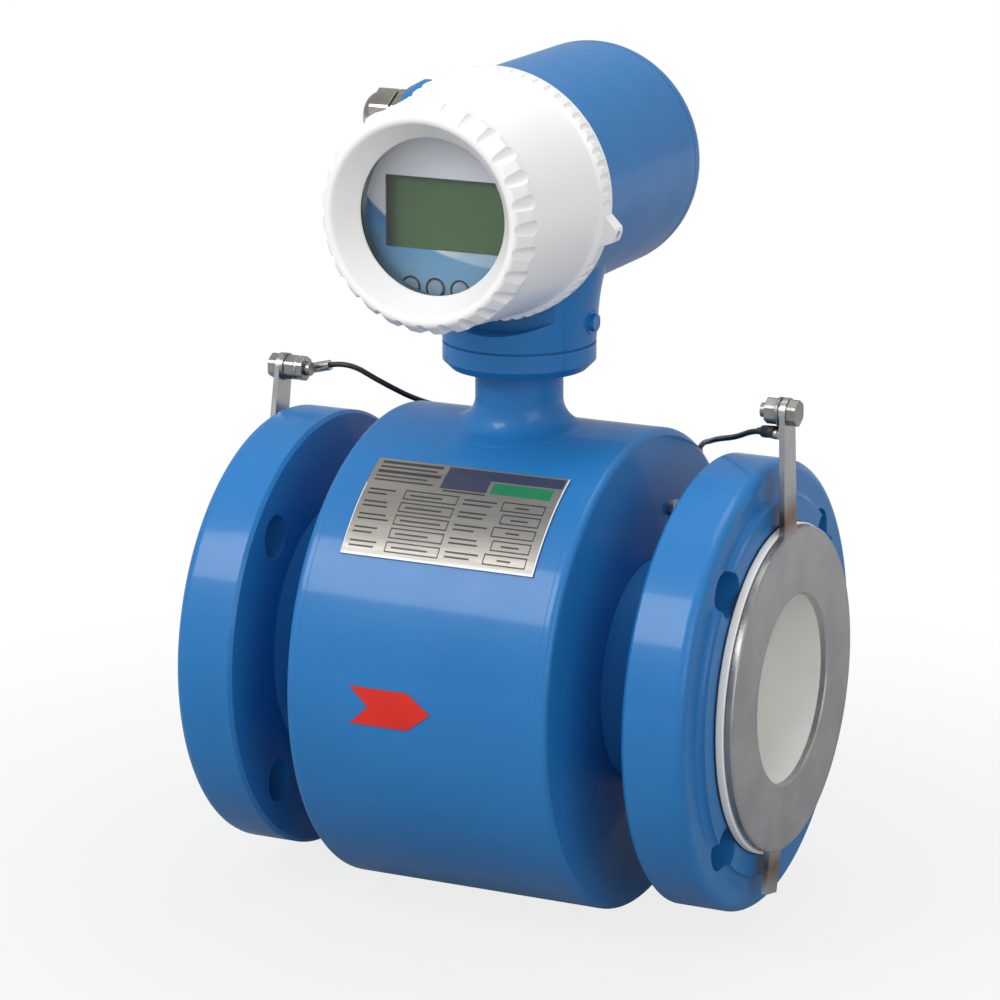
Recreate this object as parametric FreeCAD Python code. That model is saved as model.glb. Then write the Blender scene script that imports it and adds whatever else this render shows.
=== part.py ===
"""Electromagnetic flow meter: flanged sensor with a round transmitter head on a neck.

Millimetres. +X is the flow direction along the pipe axis, -Y is the side of the display,
+Z is up, and the origin is on the pipe axis at mid length.
"""

import math
import os

import FreeCAD, Part
from FreeCAD import Vector

# ---- general clearances -------------------------------------------------------------------
FIT_GAP = 0.1             # radial gap between fixed pieces that sit inside one another
THREAD_GAP = 0.35         # radial gap between a screwed cover and its thread
KEY_GAP = 0.3             # radial gap round a push key

# ---- pipe, liner and flanges --------------------------------------------------------------
BORE_RADIUS = 40.0
LINER_WALL = 3.5
TUBE_WALL = 3.5
FLANGE_FACE_X = 115.5
FLANGE_THICKNESS = 27.0
FLANGE_RADIUS = 95.25
FLANGE_EDGE = 4.5
FLANGE_BACK_EDGE = 1.5
HUB_RADIUS = 57.0
HUB_TAPER = 5.0
HUB_LENGTH = 6.0
RAISED_FACE_RADIUS = 79.5
RAISED_FACE_HEIGHT = 3.0
RAISED_FACE_COVE = 3.0
BOLT_CIRCLE_INSET = 19.05   # from the flange's rim to the bolt circle
BOLT_HOLE_RADIUS = 9.55
BOLT_COUNT = 4
LINER_FLARE_RADIUS = 65.4
LINER_FLARE_THICKNESS = 4.2

# ---- earthing rings and their tabs --------------------------------------------------------
RING_RADIUS = 68.4
RING_THICKNESS = 3.0
RING_CHAMFER = 0.6
TAB_ROOT_WIDTH = 14.0
TAB_TIP_WIDTH = 12.0
TAB_THICKNESS = 2.4
OUTLET_TAB_REACH = 120.5
INLET_TAB_REACH = 111.0
LOWER_TAB_END = 86.0
OUTLET_TAB_ANGLE = 4.0
OUTLET_LOWER_TAB_ANGLE = 167.0
INLET_TAB_ANGLE = -11.0
INLET_LOWER_TAB_ANGLE = 180.0

# ---- M6 earthing bolts and their lugs -----------------------------------------------------
TAB_BOLT_RADIUS = 3.0
HEX_WIDTH = 10.0
HEX_HEAD_HEIGHT = 4.0
NUT_HEIGHT = 5.0
THIN_NUT_HEIGHT = 3.0
WASHER_RADIUS = 6.0
WASHER_THICKNESS = 1.2
BOLT_TAIL = 2.5
LUG_RADIUS = 5.2
LUG_THICKNESS = 1.0
LUG_BARREL_RADIUS = 2.3
LUG_BARREL_LENGTH = 9.0
LUG_REACH = 9.2
LUG_TONGUE_HALF_WIDTH = 2.0

# ---- coil housing -------------------------------------------------------------------------
HOUSING_HALF_LENGTH = 59.0
HOUSING_RADIUS = 102.5
HOUSING_WALL = 3.0
END_PLATE_THICKNESS = 5.0
END_PLATE_EDGE = 3.0
EARTH_BOSS_X = 40.0
EARTH_BOSS_ANGLE = -52.0
EARTH_BOSS_RADIUS = 6.0
EARTH_BOSS_HEIGHT = 2.2
VENT_SCREW_CIRCLE = 69.6
VENT_SCREW_ANGLE = -21.8
SMALL_SCREW_RADIUS = 2.0
SMALL_SCREW_HEAD_WIDTH = 7.0
SMALL_SCREW_HEAD_HEIGHT = 2.4
SMALL_SCREW_DEPTH = 4.0

# ---- electrodes and field coils -----------------------------------------------------------
ELECTRODE_HEAD_RADIUS = 5.0
ELECTRODE_STEM_RADIUS = 2.5
ELECTRODE_END = 66.0
BUSH_RADIUS = 4.6
BUSH_FLANGE_RADIUS = 7.0
BUSH_FLANGE_THICKNESS = 2.0
ELECTRODE_NUT_WIDTH = 9.0
ELECTRODE_NUT_HEIGHT = 4.0
POLE_SHOE_THICKNESS = 3.0
POLE_SHOE_HALF_ANGLE = 34.0
POLE_SHOE_HALF_LENGTH = 34.0
POLE_CORE_RADIUS = 11.0
COIL_INNER_RADIUS = 12.0
COIL_OUTER_RADIUS = 28.0
COIL_HEIGHT = 17.0
YOKE_INNER_RADIUS = 72.0
YOKE_THICKNESS = 3.0
YOKE_HALF_LENGTH = 30.0
HARNESS_RADIUS = 3.5
HARNESS_DROP = 19.7

# ---- neck and collar ----------------------------------------------------------------------
NECK_RADIUS = 18.6
NECK_WALL = 3.2
NECK_FILLET = 11.0
COLLAR_RADIUS = 32.4
COLLAR_BOTTOM_Z = 126.0
COLLAR_TOP_Z = 137.0
COLLAR_CHAMFER = 3.5
GASKET_THICKNESS = 0.8
GASKET_INSET = 0.8
COLLAR_SCREW_CIRCLE = 24.0
COLLAR_SCREW_RADIUS = 2.5
COLLAR_SCREW_HEAD_RADIUS = 4.2
COLLAR_SCREW_HEAD_HEIGHT = 4.0
COLLAR_SCREW_SINK = 4.5
COLLAR_SCREW_DEPTH = 8.0

# ---- transmitter case ---------------------------------------------------------------------
HEAD_AXIS_Z = 203.7
DRUM_RADIUS = 49.3
DRUM_FRONT_Y = -21.5
DRUM_BACK_Y = 72.0
SPIGOT_RADIUS = 45.5
SPIGOT_FRONT_Y = -60.0
FRONT_CAVITY_RADIUS = 42.0
REAR_CAVITY_RADIUS = 44.0
PARTITION_FRONT_Y = 15.0
PARTITION_THICKNESS = 3.0
TURRET_WAIST_Z = 152.0
TURRET_WAIST_RADIUS = 33.4
TURRET_FLARE_Z = 164.0
TURRET_FLARE_RADIUS = 35.2
TURRET_TOP_Z = 176.0
TURRET_TOP_RADIUS = 38.5
TURRET_HOLE_RADIUS = 14.0
BOSS_RADIUS = 17.0
BOSS_END_X = -64.0
BOSS_Y = 28.5
BOSS_RISE = 18.3
BOSS_CHAMFER_LENGTH = 6.0
BOSS_CHAMFER_DEPTH = 3.2
GLAND_HOLE_RADIUS = 8.0
CASE_EARTH_Z = 147.5
CASE_EARTH_SEAT_RADIUS = 5.0
CASE_EARTH_SEAT_DEPTH = 0.3

# ---- front cover and its window -----------------------------------------------------------
COVER_FRONT_Y = -95.0
COVER_REAR_Y = -22.9
COVER_RING_RADIUS = 42.6
COVER_SHOULDER_RADIUS = 46.6
COVER_SHOULDER_Y = -87.0
COVER_WAIST_RADIUS = 46.3
COVER_SKIRT_RADIUS = 50.3
COVER_RIM_RADIUS = 52.4
COVER_RIM_WIDTH = 8.0
FUNNEL_OUTER_RADIUS = 39.4
WINDOW_RADIUS = 32.0
WINDOW_LIP_Y = -82.3
GLASS_RADIUS = 38.0
GLASS_THICKNESS = 6.0
GLASS_GASKET_THICKNESS = 0.6
RETAINER_THICKNESS = 4.0
RETAINER_INNER_RADIUS = 34.0
GRIP_COUNT = 28
GRIP_RADIUS = 3.2
GRIP_DEPTH = 1.3
RIM_NOTCH_COUNT = 60
RIM_NOTCH_RADIUS = 1.6
RIM_NOTCH_DEPTH = 0.9
RIM_NOTCH_LENGTH = 5.6
LUG_TIP_RADIUS = 58.0
LUG_ANGLE = -12.5
LUG_HALF_WIDTH = 6.0
LOCK_SCREW_RADIUS = 1.6
LUG_SWEEP_GAP = 0.8
SEAL_SECTION = 0.9
FRONT_SEAL_Y = -27.0

# ---- rear cover ---------------------------------------------------------------------------
REAR_COVER_Y = 82.2
REAR_COVER_EDGE = 7.0
REAR_COVER_SEAM = 0.35
REAR_COVER_THREAD_LENGTH = 12.0
REAR_COVER_WALL = 4.5
REAR_SEAL_Y = 69.5
SPANNER_HOLE_RADIUS = 3.0
SPANNER_HOLE_DEPTH = 3.0
SPANNER_HOLE_CIRCLE = 26.0

# ---- display ------------------------------------------------------------------------------
FACE_PLATE_Y = -67.0
FACE_PLATE_RADIUS = 41.0
FACE_PLATE_THICKNESS = 1.5
LCD_WIDTH = 55.5
LCD_HEIGHT = 29.2
LCD_DROP = 1.8
LCD_FRAME = 3.0
LCD_RECESS = 0.5
KEY_COUNT = 4
KEY_PITCH = 11.0
KEY_DROP = 32.2
KEY_RADIUS = 3.4
KEY_PROUD = 0.5
KEY_EDGE = 0.4
KEY_FLANGE = 0.8
KEY_FLANGE_THICKNESS = 1.0
KEY_TRAVEL = 0.8
KEY_SWITCH_HEIGHT = 1.0
BOARD_RADIUS = 38.0
BOARD_THICKNESS = 1.6
DISPLAY_BOARD_Y = -58.0
MAIN_BOARD_Y = -8.0
TRANSFORMER_WIDTH = 22.0
TRANSFORMER_HEIGHT = 20.0
TRANSFORMER_DEPTH = 16.0
TRANSFORMER_CENTRE_X = -8.0
TRANSFORMER_RISE = 4.0
DRIVER_WIDTH = 28.0
DRIVER_HEIGHT = 16.0
DRIVER_DEPTH = 6.0
DRIVER_DROP = 8.0
CAPACITOR_RADIUS = 5.0
CAPACITOR_LENGTH = 18.0
CAPACITOR_RISE = 12.0
CAPACITOR_FIRST_X = 10.0
CAPACITOR_PITCH = 12.0
PLUG_WIDTH = 12.0
PLUG_HEIGHT = 12.0
PLUG_OVERLAP = 2.0
KEY_SWITCH_WIDTH = 5.0
STANDOFF_RADIUS = 2.5
STANDOFF_CIRCLE = 33.5
SPACER_CIRCLE = 35.0
TERMINAL_WIDTH = 56.0
TERMINAL_HEIGHT = 16.0
TERMINAL_DEPTH = 14.0
TERMINAL_WAYS = 8
TERMINAL_SCREW_RADIUS = 1.8
TERMINAL_DROP = 9.7
TERMINAL_SCREW_RISE = 3.0
TERMINAL_SCREW_LENGTH = 5.0
TERMINAL_SCREW_SINK = 6.0
TERMINAL_SLOT_WIDTH = 0.6
TERMINAL_SLOT_DEPTH = 0.8
WIRE_HOLE_RADIUS = 1.8
WIRE_HOLE_DEPTH = 6.0

# ---- cable gland --------------------------------------------------------------------------
GLAND_HEX_WIDTH = 21.5
GLAND_BODY_HEX = 5.0
GLAND_NECK_RADIUS = 8.4
GLAND_NECK_LENGTH = 9.5
GLAND_THREAD_LENGTH = 9.0
GLAND_BORE_RADIUS = 6.2
GLAND_NUT_HEX = 9.0
GLAND_NUT_DOME = 4.5
GLAND_NUT_MOUTH = 5.2
GLAND_NUT_GAP = 1.2
GLAND_SEAL_BORE = 3.6
SLIP_RING_THICKNESS = 1.0

# ---- name plate and flow arrow ------------------------------------------------------------
NAME_PLATE_WIDTH = 87.0
NAME_PLATE_CENTRE_X = 1.2
NAME_PLATE_TOP_ANGLE = 26.8
NAME_PLATE_BOTTOM_ANGLE = 54.2
NAME_PLATE_THICKNESS = 0.6
ARROW_TAIL_X = -29.0
ARROW_TIP_X = 7.6
ARROW_NOTCH = 8.5
ARROW_HEIGHT = 15.8
ARROW_HEAD = 10.5
ARROW_Z = 2.3
ARROW_THICKNESS = 0.3

# ---- earth leads --------------------------------------------------------------------------
LEAD_RADIUS = 1.2

# ---- places worked out from the sizes above -----------------------------------------------
LINER_RADIUS = BORE_RADIUS + LINER_WALL
TUBE_INNER_RADIUS = LINER_RADIUS + FIT_GAP
BOLT_CIRCLE_RADIUS = FLANGE_RADIUS - BOLT_CIRCLE_INSET
TUBE_RADIUS = TUBE_INNER_RADIUS + TUBE_WALL
RAISED_FACE_X = FLANGE_FACE_X + RAISED_FACE_HEIGHT
RING_BACK_X = RAISED_FACE_X + LINER_FLARE_THICKNESS
RING_FRONT_X = RING_BACK_X + RING_THICKNESS
COLLAR_SEAT_Z = COLLAR_BOTTOM_Z + COLLAR_SCREW_SINK
FLANGE_BACK_X = FLANGE_FACE_X - FLANGE_THICKNESS
TURRET_BOTTOM_Z = COLLAR_TOP_Z + GASKET_THICKNESS
CORE_END = YOKE_INNER_RADIUS - FIT_GAP
SHOE_RADIUS = TUBE_RADIUS + FIT_GAP + POLE_SHOE_THICKNESS
GLASS_FRONT_Y = WINDOW_LIP_Y + GLASS_GASKET_THICKNESS
GLASS_BACK_Y = GLASS_FRONT_Y + GLASS_THICKNESS
RETAINER_BACK_Y = GLASS_BACK_Y + RETAINER_THICKNESS
RETAINER_BORE = FACE_PLATE_RADIUS + 1.0
COVER_BORE = SPIGOT_RADIUS + THREAD_GAP
LUG_SWEEP_RADIUS = LUG_TIP_RADIUS + LUG_SWEEP_GAP
FACE_PLATE_BACK_Y = FACE_PLATE_Y + FACE_PLATE_THICKNESS
REAR_THREAD_RADIUS = REAR_CAVITY_RADIUS - THREAD_GAP
KEY_Z = HEAD_AXIS_Z - KEY_DROP
BOSS_Z = HEAD_AXIS_Z + BOSS_RISE
TERMINAL_Z = HEAD_AXIS_Z - TERMINAL_DROP
HARNESS_TOP_Z = HEAD_AXIS_Z - HARNESS_DROP
LCD_Z = HEAD_AXIS_Z - LCD_DROP
HEAD_CENTRE = Vector(0, 0, HEAD_AXIS_Z)
X_AXIS = Vector(1, 0, 0)
Y_AXIS = Vector(0, 1, 0)
Z_AXIS = Vector(0, 0, 1)


# ---- shared helpers -----------------------------------------------------------------------
def lathe_point(axis, along, radius):
    """A point of a lathe profile, given along the axis and out from it."""
    if axis == "x":
        return Vector(along, 0, radius)
    if axis == "y":
        return Vector(0, along, radius)
    return Vector(radius, 0, along)


def turned(axis, path, centre=Vector(0, 0, 0)):
    """A solid of revolution. A step of the path is (along, radius) for a straight line,
    or (along, radius, along, radius) for an arc through the first pair to the second."""
    edges = []
    here = lathe_point(axis, path[0][0], path[0][1])
    for step in path[1:] + [path[0][:2]]:
        end = lathe_point(axis, step[-2], step[-1])
        if len(step) == 4:
            middle = lathe_point(axis, step[0], step[1])
            edges.append(Part.Arc(here, middle, end).toShape())
        else:
            edges.append(Part.makeLine(here, end))
        here = end
    direction = {"x": X_AXIS, "y": Y_AXIS, "z": Z_AXIS}[axis]
    face = Part.Face(Part.Wire(edges))
    solid = face.revolve(Vector(0, 0, 0), direction, 360)
    solid.translate(centre)
    return solid


def rod(start, direction, radius, length):
    return Part.makeCylinder(radius, length, start, direction)


def tube(start, direction, outer, inner, length):
    return rod(start, direction, outer, length).cut(rod(start, direction, inner, length))


def hexagon(start, direction, width, length, hole=0.0):
    """A hexagonal prism across flats width, with an optional through hole."""
    normal = Vector(direction).normalize()
    side = normal.cross(Z_AXIS)
    if side.Length < 0.1:
        side = X_AXIS
    side.normalize()
    up = normal.cross(side)
    corners = []
    for index in range(7):
        angle = math.radians(60 * index + 30)
        reach = width / math.sqrt(3)
        corners.append(start + side * (reach * math.cos(angle)) + up * (reach * math.sin(angle)))
    prism = Part.Face(Part.makePolygon(corners)).extrude(normal * length)
    crown = Part.makeCylinder(width / math.sqrt(3) - 0.35, length, start, normal)
    prism = prism.common(crown)
    if hole:
        prism = prism.cut(rod(start, normal, hole, length))
    return prism


def box(low, high):
    """A box between two corners."""
    size = high - low
    return Part.makeBox(size.x, size.y, size.z, low)


def group(solids):
    return Part.makeCompound(solids)


def around_x(angle, radius, x):
    """A point at an angle from +Z towards -Y, seen along the pipe axis."""
    turn = math.radians(angle)
    return Vector(x, -radius * math.sin(turn), radius * math.cos(turn))


def export(name, shape):
    shape.exportStep("parts/" + name + ".step")


# ---- pipe, liner and flanges --------------------------------------------------------------
def electrode_hole(radius, side, end):
    return rod(Vector(0, 0, 0), Y_AXIS * side, radius, end)


def flow_tube():
    pipe = tube(Vector(-RAISED_FACE_X, 0, 0), X_AXIS, TUBE_RADIUS, TUBE_INNER_RADIUS,
                2 * RAISED_FACE_X)
    for side in (-1, 1):
        pipe = pipe.cut(electrode_hole(BUSH_RADIUS + FIT_GAP, side, TUBE_RADIUS + 1))
    return pipe


def liner():
    flare_x = RING_BACK_X
    body = turned("x", [
        (-flare_x, BORE_RADIUS), (-flare_x, LINER_FLARE_RADIUS),
        (-RAISED_FACE_X, LINER_FLARE_RADIUS), (-RAISED_FACE_X, LINER_RADIUS),
        (RAISED_FACE_X, LINER_RADIUS), (RAISED_FACE_X, LINER_FLARE_RADIUS),
        (flare_x, LINER_FLARE_RADIUS), (flare_x, BORE_RADIUS)])
    for side in (-1, 1):
        body = body.cut(electrode_hole(ELECTRODE_HEAD_RADIUS + FIT_GAP, side, TUBE_RADIUS))
    return body


def flange(side):
    """A slip-on flange with a hub behind, a rounded rim and a raised face in front."""
    cove = RAISED_FACE_COVE
    face = FLANGE_FACE_X
    raised = RAISED_FACE_RADIUS
    bend = math.sin(math.radians(45))
    rim = FLANGE_RADIUS - FLANGE_EDGE
    path = [
        (FLANGE_BACK_X - HUB_LENGTH, TUBE_RADIUS + FIT_GAP),
        (FLANGE_BACK_X - HUB_LENGTH, HUB_RADIUS - HUB_TAPER),
        (FLANGE_BACK_X, HUB_RADIUS),
        (FLANGE_BACK_X, FLANGE_RADIUS - FLANGE_BACK_EDGE),
        (FLANGE_BACK_X + FLANGE_BACK_EDGE, FLANGE_RADIUS),
        (face - FLANGE_EDGE, FLANGE_RADIUS),
        (face - FLANGE_EDGE + FLANGE_EDGE * bend, rim + FLANGE_EDGE * bend, face, rim),
        (face, raised + cove),
        (face + cove * (1 - bend), raised + cove * (1 - bend), face + cove, raised),
        (RAISED_FACE_X, raised - 0.1),
        (RAISED_FACE_X, TUBE_RADIUS + FIT_GAP)]
    body = turned("x", path)
    for index in range(BOLT_COUNT):
        angle = 360.0 / BOLT_COUNT * (index + 0.5)
        centre = around_x(angle, BOLT_CIRCLE_RADIUS, 0)
        body = body.cut(rod(centre, X_AXIS, BOLT_HOLE_RADIUS, RING_FRONT_X))
    return body if side > 0 else body.mirror(Vector(0, 0, 0), X_AXIS)


# ---- earthing rings, bolts and lugs -------------------------------------------------------
def tab(end_radius, round_end):
    """A flat strip that points up from the pipe axis, in the plane of the outlet ring."""
    root = RING_RADIUS - 6
    half_root = TAB_ROOT_WIDTH / 2
    half_tip = TAB_TIP_WIDTH / 2
    low_left = Vector(RING_BACK_X, -half_root, root)
    low_right = Vector(RING_BACK_X, half_root, root)
    top_left = Vector(RING_BACK_X, -half_tip, end_radius)
    top_right = Vector(RING_BACK_X, half_tip, end_radius)
    edges = [Part.makeLine(low_right, low_left), Part.makeLine(low_left, top_left)]
    if round_end:
        crown = Vector(RING_BACK_X, 0, end_radius + half_tip)
        edges.append(Part.Arc(top_left, crown, top_right).toShape())
    else:
        edges.append(Part.makeLine(top_left, top_right))
    edges.append(Part.makeLine(top_right, low_right))
    return Part.Face(Part.Wire(edges)).extrude(X_AXIS * TAB_THICKNESS)


def earthing_ring(side, reach, upper_angle, lower_angle):
    """A flat ring with a long tab for the earthing bolt above and a short locating tab below."""
    chamfer = RING_CHAMFER
    body = turned("x", [
        (RING_BACK_X, BORE_RADIUS), (RING_BACK_X, RING_RADIUS),
        (RING_FRONT_X - chamfer, RING_RADIUS), (RING_FRONT_X, RING_RADIUS - chamfer),
        (RING_FRONT_X, BORE_RADIUS + chamfer), (RING_FRONT_X - chamfer, BORE_RADIUS)])
    upper = tab(reach, True)
    hole = Vector(RING_BACK_X, 0, reach)
    upper = upper.cut(rod(hole, X_AXIS, TAB_BOLT_RADIUS + FIT_GAP, TAB_THICKNESS))
    upper.rotate(Vector(0, 0, 0), X_AXIS, upper_angle)
    lower = tab(LOWER_TAB_END, False)
    lower.rotate(Vector(0, 0, 0), X_AXIS, lower_angle)
    body = body.fuse([upper, lower]).removeSplitter()
    return body if side > 0 else body.mirror(Vector(0, 0, 0), X_AXIS)


def tab_bolt_centre(side):
    """The place of an earthing bolt's axis on the inner face of its tab."""
    angle = OUTLET_TAB_ANGLE if side > 0 else INLET_TAB_ANGLE
    reach = OUTLET_TAB_REACH if side > 0 else INLET_TAB_REACH
    return around_x(angle, reach, side * RING_BACK_X)


def tab_stack(side):
    """How far each piece on an earthing bolt starts from the tab's inner face, inwards."""
    if side > 0:
        lug = 0.0
        washer = LUG_THICKNESS
        nut = washer + WASHER_THICKNESS
        thin_nut = None
        tail = nut + NUT_HEIGHT + BOLT_TAIL
    else:
        washer = 0.0
        nut = WASHER_THICKNESS
        lug = nut + NUT_HEIGHT
        thin_nut = lug + LUG_THICKNESS
        tail = thin_nut + THIN_NUT_HEIGHT + BOLT_TAIL
    return lug, washer, nut, thin_nut, tail


def tab_bolts():
    bolts = []
    for side in (-1, 1):
        inward = X_AXIS * -side
        tail = tab_stack(side)[4]
        start = tab_bolt_centre(side) - inward * TAB_THICKNESS
        shank = rod(start, inward, TAB_BOLT_RADIUS, TAB_THICKNESS + tail)
        head = hexagon(start, inward * -1, HEX_WIDTH, HEX_HEAD_HEIGHT)
        bolts.append(shank.fuse(head))
    return group(bolts)


def tab_nuts():
    nuts = []
    for side in (-1, 1):
        inward = X_AXIS * -side
        nut, thin_nut = tab_stack(side)[2:4]
        place = tab_bolt_centre(side) + inward * nut
        hole = TAB_BOLT_RADIUS + FIT_GAP
        nuts.append(hexagon(place, inward, HEX_WIDTH, NUT_HEIGHT, hole))
        if thin_nut:
            place = tab_bolt_centre(side) + inward * thin_nut
            nuts.append(hexagon(place, inward, HEX_WIDTH, THIN_NUT_HEIGHT, hole))
    return group(nuts)


def tab_washers():
    washers = []
    for side in (-1, 1):
        inward = X_AXIS * -side
        place = tab_bolt_centre(side) + inward * tab_stack(side)[1]
        washers.append(tube(place, inward, WASHER_RADIUS, TAB_BOLT_RADIUS + FIT_GAP,
                            WASHER_THICKNESS))
    return group(washers)


def lug_barrel_start(centre, normal, out):
    return centre + normal * LUG_BARREL_RADIUS + out * LUG_REACH


def ring_lug(centre, normal, hole_radius, out, barrel_direction):
    """A crimped ring terminal. The eye lies on centre, the tongue runs out from it, and the
    barrel that grips the lead starts at the tongue's end."""
    eye = rod(centre, normal, LUG_RADIUS, LUG_THICKNESS)
    side = normal.cross(out) * LUG_TONGUE_HALF_WIDTH
    far = centre + out * (LUG_REACH + LUG_BARREL_RADIUS)
    corners = [centre - side, centre + side, far + side, far - side, centre - side]
    tongue = Part.Face(Part.makePolygon(corners)).extrude(normal * LUG_THICKNESS)
    start = lug_barrel_start(centre, normal, out)
    barrel = rod(start, barrel_direction, LUG_BARREL_RADIUS, LUG_BARREL_LENGTH)
    heel = Part.makeSphere(LUG_BARREL_RADIUS, start, barrel_direction * -1, 0, 90, 360)
    return eye.fuse([tongue, barrel, heel]).cut(rod(centre, normal, hole_radius, LUG_THICKNESS))


def earth_boss_top(side):
    """The middle of an earth boss's top face, on the far upper side of the housing."""
    return around_x(EARTH_BOSS_ANGLE, HOUSING_RADIUS + EARTH_BOSS_HEIGHT, side * EARTH_BOSS_X)


def lug_places():
    """Each lug as eye centre, normal, hole radius, tongue direction and barrel direction."""
    places = []
    outward = around_x(EARTH_BOSS_ANGLE, 1, 0)
    forward = X_AXIS.cross(outward)
    for side in (-1, 1):
        inward = X_AXIS * -side
        eye = tab_bolt_centre(side) + inward * tab_stack(side)[0]
        if side < 0:
            out = Vector(0, 1, -0.2).normalize()
            barrel = Vector(1, 0, 0.25).normalize()
        else:
            out = Vector(0, -0.25, -1).normalize()
            barrel = Vector(-0.8, 0.6, -0.1).normalize()
        places.append((eye, inward, TAB_BOLT_RADIUS + FIT_GAP, out, barrel))
        out = (X_AXIS * side * 0.6 + forward * 0.8).normalize()
        places.append((earth_boss_top(side), outward, SMALL_SCREW_RADIUS + FIT_GAP, out, out))
    return places


def lead_lugs():
    return group([ring_lug(*place) for place in lug_places()])


def barrel_end(place):
    eye, normal, _, out, barrel = place
    return lug_barrel_start(eye, normal, out) + barrel * LUG_BARREL_LENGTH


def rounded_tube(points, radius):
    """A tube along straight runs joined by tangent arcs as large as the runs allow."""
    edges = []
    here = points[0]
    for before, corner, after in zip(points, points[1:], points[2:]):
        arriving = (corner - before).normalize()
        leaving = (after - corner).normalize()
        turn = arriving.getAngle(leaving)
        shorter = min((corner - before).Length, (after - corner).Length)
        setback = 0.45 * shorter
        bend = setback / math.tan(turn / 2)
        arc_start = corner - arriving * setback
        arc_end = corner + leaving * setback
        inward = (leaving - arriving).normalize()
        depth = bend / math.cos(turn / 2) - bend
        edges.append(Part.makeLine(here, arc_start))
        edges.append(Part.Arc(arc_start, corner + inward * depth, arc_end).toShape())
        here = arc_end
    edges.append(Part.makeLine(here, points[-1]))
    path = Part.Wire(edges)
    start_direction = (points[1] - points[0]).normalize()
    circle = Part.makeCircle(radius, points[0], start_direction)
    return path.makePipeShell([Part.Wire([circle])], True, False)


def earth_lead(side, route):
    tab_lug, plate_lug = [p for p in lug_places() if p[0].x * side > 0]
    points = [barrel_end(tab_lug)] + [Vector(*p) for p in route] + [barrel_end(plate_lug)]
    return rounded_tube(points, LEAD_RADIUS)


# ---- coil housing -------------------------------------------------------------------------
def saddle_blank():
    """Housing and neck joined by a fillet, used to shape the foot of the neck."""
    barrel = rod(Vector(-HOUSING_HALF_LENGTH, 0, 0), X_AXIS, HOUSING_RADIUS,
                 2 * HOUSING_HALF_LENGTH)
    stem = rod(Vector(0, 0, 0), Z_AXIS, NECK_RADIUS, COLLAR_BOTTOM_Z)
    joined = barrel.fuse(stem)
    seams = []
    for edge in joined.Edges:
        centre = edge.BoundBox
        inside = max(abs(centre.XMin), abs(centre.XMax)) < NECK_RADIUS + 1
        if inside and centre.ZMin > 0 and centre.ZMax < HOUSING_RADIUS + 1:
            if centre.XLength > NECK_RADIUS:
                seams.append(edge)
    return joined.makeFillet(NECK_FILLET, seams)


def neck():
    collar = turned("z", [
        (COLLAR_BOTTOM_Z, 0), (COLLAR_BOTTOM_Z, COLLAR_RADIUS - COLLAR_CHAMFER),
        (COLLAR_BOTTOM_Z + COLLAR_CHAMFER, COLLAR_RADIUS),
        (COLLAR_TOP_Z, COLLAR_RADIUS), (COLLAR_TOP_Z, 0)])
    barrel = rod(Vector(-HOUSING_HALF_LENGTH - 1, 0, 0), X_AXIS, HOUSING_RADIUS,
                 2 * HOUSING_HALF_LENGTH + 2)
    body = saddle_blank().cut(barrel).fuse(collar)
    body = body.cut(rod(Vector(0, 0, 0), Z_AXIS, NECK_RADIUS - NECK_WALL, COLLAR_TOP_Z + 1))
    for place in collar_screw_places():
        body = body.cut(rod(place, Z_AXIS, COLLAR_SCREW_RADIUS + FIT_GAP, COLLAR_TOP_Z))
        body = body.cut(rod(place, Z_AXIS * -1, COLLAR_SCREW_HEAD_RADIUS + FIT_GAP,
                            COLLAR_SCREW_SINK + 1))
    return body.removeSplitter()


def collar_screw_places():
    places = []
    for index in range(4):
        angle = math.radians(45 + 90 * index)
        places.append(Vector(COLLAR_SCREW_CIRCLE * math.cos(angle),
                             COLLAR_SCREW_CIRCLE * math.sin(angle), COLLAR_SEAT_Z))
    return places


def collar_screws():
    length = COLLAR_TOP_Z + GASKET_THICKNESS - COLLAR_SEAT_Z + COLLAR_SCREW_DEPTH
    screws = []
    for place in collar_screw_places():
        shank = rod(place, Z_AXIS, COLLAR_SCREW_RADIUS, length)
        head = rod(place, Z_AXIS * -1, COLLAR_SCREW_HEAD_RADIUS, COLLAR_SCREW_HEAD_HEIGHT)
        socket_start = place - Z_AXIS * COLLAR_SCREW_HEAD_HEIGHT
        socket = hexagon(socket_start, Z_AXIS, COLLAR_SCREW_RADIUS * 1.6, 2.2)
        screws.append(shank.fuse(head).cut(socket))
    return group(screws)


def collar_gasket():
    ring = tube(Vector(0, 0, COLLAR_TOP_Z), Z_AXIS, COLLAR_RADIUS - GASKET_INSET,
                NECK_RADIUS - NECK_WALL, GASKET_THICKNESS)
    for place in collar_screw_places():
        ring = ring.cut(rod(place, Z_AXIS, COLLAR_SCREW_RADIUS + FIT_GAP, COLLAR_TOP_Z))
    return ring


def housing_shell():
    length = 2 * (HOUSING_HALF_LENGTH - END_PLATE_THICKNESS)
    start = Vector(-length / 2, 0, 0)
    shell = tube(start, X_AXIS, HOUSING_RADIUS, HOUSING_RADIUS - HOUSING_WALL, length)
    inward = around_x(EARTH_BOSS_ANGLE, -1, 0)
    for side in (-1, 1):
        top = earth_boss_top(side)
        boss = rod(top, inward, EARTH_BOSS_RADIUS, EARTH_BOSS_HEIGHT + HOUSING_WALL / 2)
        screw_hole = rod(top, inward, SMALL_SCREW_RADIUS + FIT_GAP, SMALL_SCREW_DEPTH)
        shell = shell.fuse(boss).cut(screw_hole)
    return shell.cut(rod(Vector(0, 0, 0), Z_AXIS, NECK_RADIUS - NECK_WALL, COLLAR_TOP_Z))


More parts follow.
